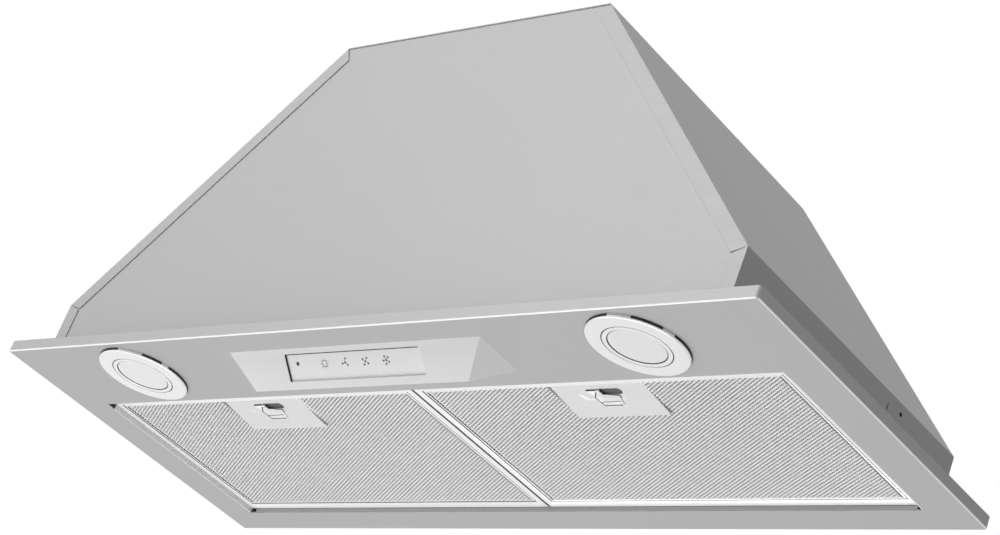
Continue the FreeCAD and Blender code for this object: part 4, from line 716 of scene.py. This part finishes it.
# ---------------------------------------------------------------------------
# Latch slides. A flat bar behind the plate, painted dark for the shade it lies
# in, a post with its guide pin, and a pull tab with bevelled corners in front,
# with a step near its end; dark strips paint the shade round the tab and along
# the step. Each rides on its latch body.
# Painted shade: the bar is a dark copy of the fasteners' steel, for the shade it lies in behind the window.
shaded_bar_steel = surface("slide_bar_painted_shade", "steel_fasteners", (0.10, 0.10, 0.102), metallic=0.3, rough=(0.5, 0.6),
                   fine=700, bump=0.05)
pull_bright = surface("pull_aluminium", "latch_aluminium", (0.86, 0.86, 0.865), metallic=0.3,
                      rough=(0.28, 0.4), fine=900, bump=0.04)
TAB = [(-4.8, 7), (-1.4, 7), (-0.6, 11.6), (12.7, 13.8), (10.35, 24.7), (-7.35, 24.7), (-10.2, 14.2)]
TAB_MIDDLE = Vector((1.5, 15.7))
SHADED_EDGE = [(-4.4, 8.3), (-9.2, 14.4), (-6.6, 23.9), (9.4, 23.9)]


def inset(by):
    """The tab's outline with its corners drawn in towards its middle."""
    rays = [Vector(point) - TAB_MIDDLE for point in TAB]
    return [tuple(TAB_MIDDLE + ray * (1 - by / ray.length)) for ray in rays]


def along_edge(place, start, end):
    """Places beside an edge of the tab: along it, off it and inward."""
    along = Vector((end[0] - start[0], end[1] - start[1])).normalized()
    return lambda run, off, inward: place(start[0] + along.x * run - along.y * off,
                                          start[1] + along.y * run + along.x * off, inward)


for side, sign in (("left", -1), ("right", 1)):
    place = on_latch(sign)
    bar = bmesh.new()
    block(bar, place, (-2.5, -15.5, 1.15), (17.5, 15, 2.35), 0.25)
    piece("slide_bar_" + side, bar, "latch_" + side, shaded_bar_steel)
    pull = bmesh.new()
    block(pull, place, (-4.6, 7, -0.6), (-1.6, 8, 2.3), 0.1)
    block(pull, place, (-2.5, 7, 1.2), (5.5, 8, 6.2), 0.15)
    skin = [[pull.verts.new(place(x, y, z)) for x, y in ring]
            for ring, z in ((inset(0.4), -0.05), (TAB, -0.3), (TAB, -0.5), (inset(0.7), -0.9),
                            (inset(1.3), -0.9), (inset(1.7), -0.75))]
    for outer, inner in zip(skin, skin[1:]):
        for i in range(len(TAB)):
            j = (i + 1) % len(TAB)
            pull.faces.new((outer[i], outer[j], inner[j], inner[i]))
    pull.faces.new(skin[0])
    pull.faces.new(skin[-1][::-1])
    block(pull, place, (-5.6, 20, -0.88), (8.6, 23.6, -0.6), 0.1)
    piece("slide_" + side, pull, "latch_" + side, pull_bright, ["latch_slide_" + side])
    # Dark strips paint the shade along the tab's left and lower edges and along its step.
    pull_shading = bmesh.new()
    for start, end in zip(SHADED_EDGE, SHADED_EDGE[1:]):
        block(pull_shading, along_edge(place, start, end), (0, -0.4, -0.95),
              (math.dist(start, end) + 0.2, 0.4, -0.8))
    block(pull_shading, place, (-7.2, 19.5, -0.93), (9.8, 19.95, -0.7))
    piece("pull_shade_" + side, pull_shading, "latch_" + side, hem_shade)

# ---------------------------------------------------------------------------
# Screws and springs. Zinc plated pan-head screws with a cross recess in the
# collar, box lid and housing; a coil spring behind each latch slide's post.


screw, given, done, thread = tree_for(
    "pan_screw", ("Head Radius", "NodeSocketFloat", 0.0032), ("Head Height", "NodeSocketFloat", 0.0018),
    ("Turn", "NodeSocketFloat", 0.0), ("Material", "NodeSocketMaterial", None))
crown = node(screw, "GeometryNodeMeshCone", {"Vertices": 28, "Radius Top": 0.0022})
recess = node(screw, "GeometryNodeMeshBoolean", operation="DIFFERENCE")
for size in ((0.0034, 0.0007, 0.002), (0.0007, 0.0034, 0.002)):
    cross = node(screw, "GeometryNodeMeshCube", {"Size": size})
    lift = node(screw, "GeometryNodeTransform", {"Translation": (0, 0, 0.0019)})
    wire(screw, (cross.outputs["Mesh"], lift.inputs["Geometry"]), (lift.outputs[0], recess.inputs[1]))
shank = node(screw, "GeometryNodeMeshCone",
             {"Vertices": 20, "Radius Top": 0.0016, "Radius Bottom": 0.0012, "Depth": 0.0052})
sink = node(screw, "GeometryNodeTransform", {"Translation": (0, 0, -0.005)})
both = node(screw, "GeometryNodeJoinGeometry")
wire(screw, (given.outputs["Head Radius"], crown.inputs["Radius Bottom"]),
     (given.outputs["Head Height"], crown.inputs["Depth"]), (crown.outputs["Mesh"], recess.inputs[0]),
     (shank.outputs["Mesh"], sink.inputs["Geometry"]), (recess.outputs[0], both.inputs[0]),
     (sink.outputs[0], both.inputs[0]))
planted(screw, given, done, both.outputs[0])
for name, turn, places in (
        ("collar_screws", 0.0, [(x, y, 269.3) for x in (-57.98, 57.98) for y in (-56.73, 59.23)]),
        ("cover_screws", math.pi, [(-125, 105, 226.7), (-65, 15, 226.7)]),
        ("housing_screws", 0.0, [(115, -101, -8.7), (-121, -101, -8.7)])):
    heads = bpy.data.meshes.new(name)
    heads.from_pydata([[c / 1000 for c in place] for place in places], [], [])
    values = {thread["Turn"]: turn, thread["Material"]: steel}
    hang("pan_" + name, grown(name, heads, screw, values), "hood", [name], 0.5)

coil, given, done, spring = tree_for(
    "coil_spring", ("Turns", "NodeSocketFloat", 6.0), ("Wire", "NodeSocketFloat", 0.0003),
    ("Turn", "NodeSocketFloat", 0.0), ("Material", "NodeSocketMaterial", None))
helix = node(coil, "GeometryNodeCurveSpiral",
             {"Resolution": 24, "Start Radius": 0.00148, "End Radius": 0.00148, "Height": 0.0064})
round_wire = node(coil, "GeometryNodeCurvePrimitiveCircle", {"Resolution": 8})
wound = node(coil, "GeometryNodeCurveToMesh", {"Fill Caps": True})
wire(coil, (given.outputs["Turns"], helix.inputs["Rotations"]),
     (given.outputs["Wire"], round_wire.inputs["Radius"]), (helix.outputs[0], wound.inputs["Curve"]),
     (round_wire.outputs[0], wound.inputs["Profile Curve"]))
planted(coil, given, done, wound.outputs[0])
for side, sign in (("left", -1), ("right", 1)):
    seat = bpy.data.meshes.new("spring_seat")
    seat.from_pydata([on_latch(sign)(1.5, 8.3, 4.4) / 1000], [], [])
    values = {spring["Turn"]: -math.radians(90 + LATCH_TILT), spring["Material"]: steel}
    hang("spring_" + side, grown("seat", seat, coil, values), "latch_" + side, ["latch_spring_" + side])
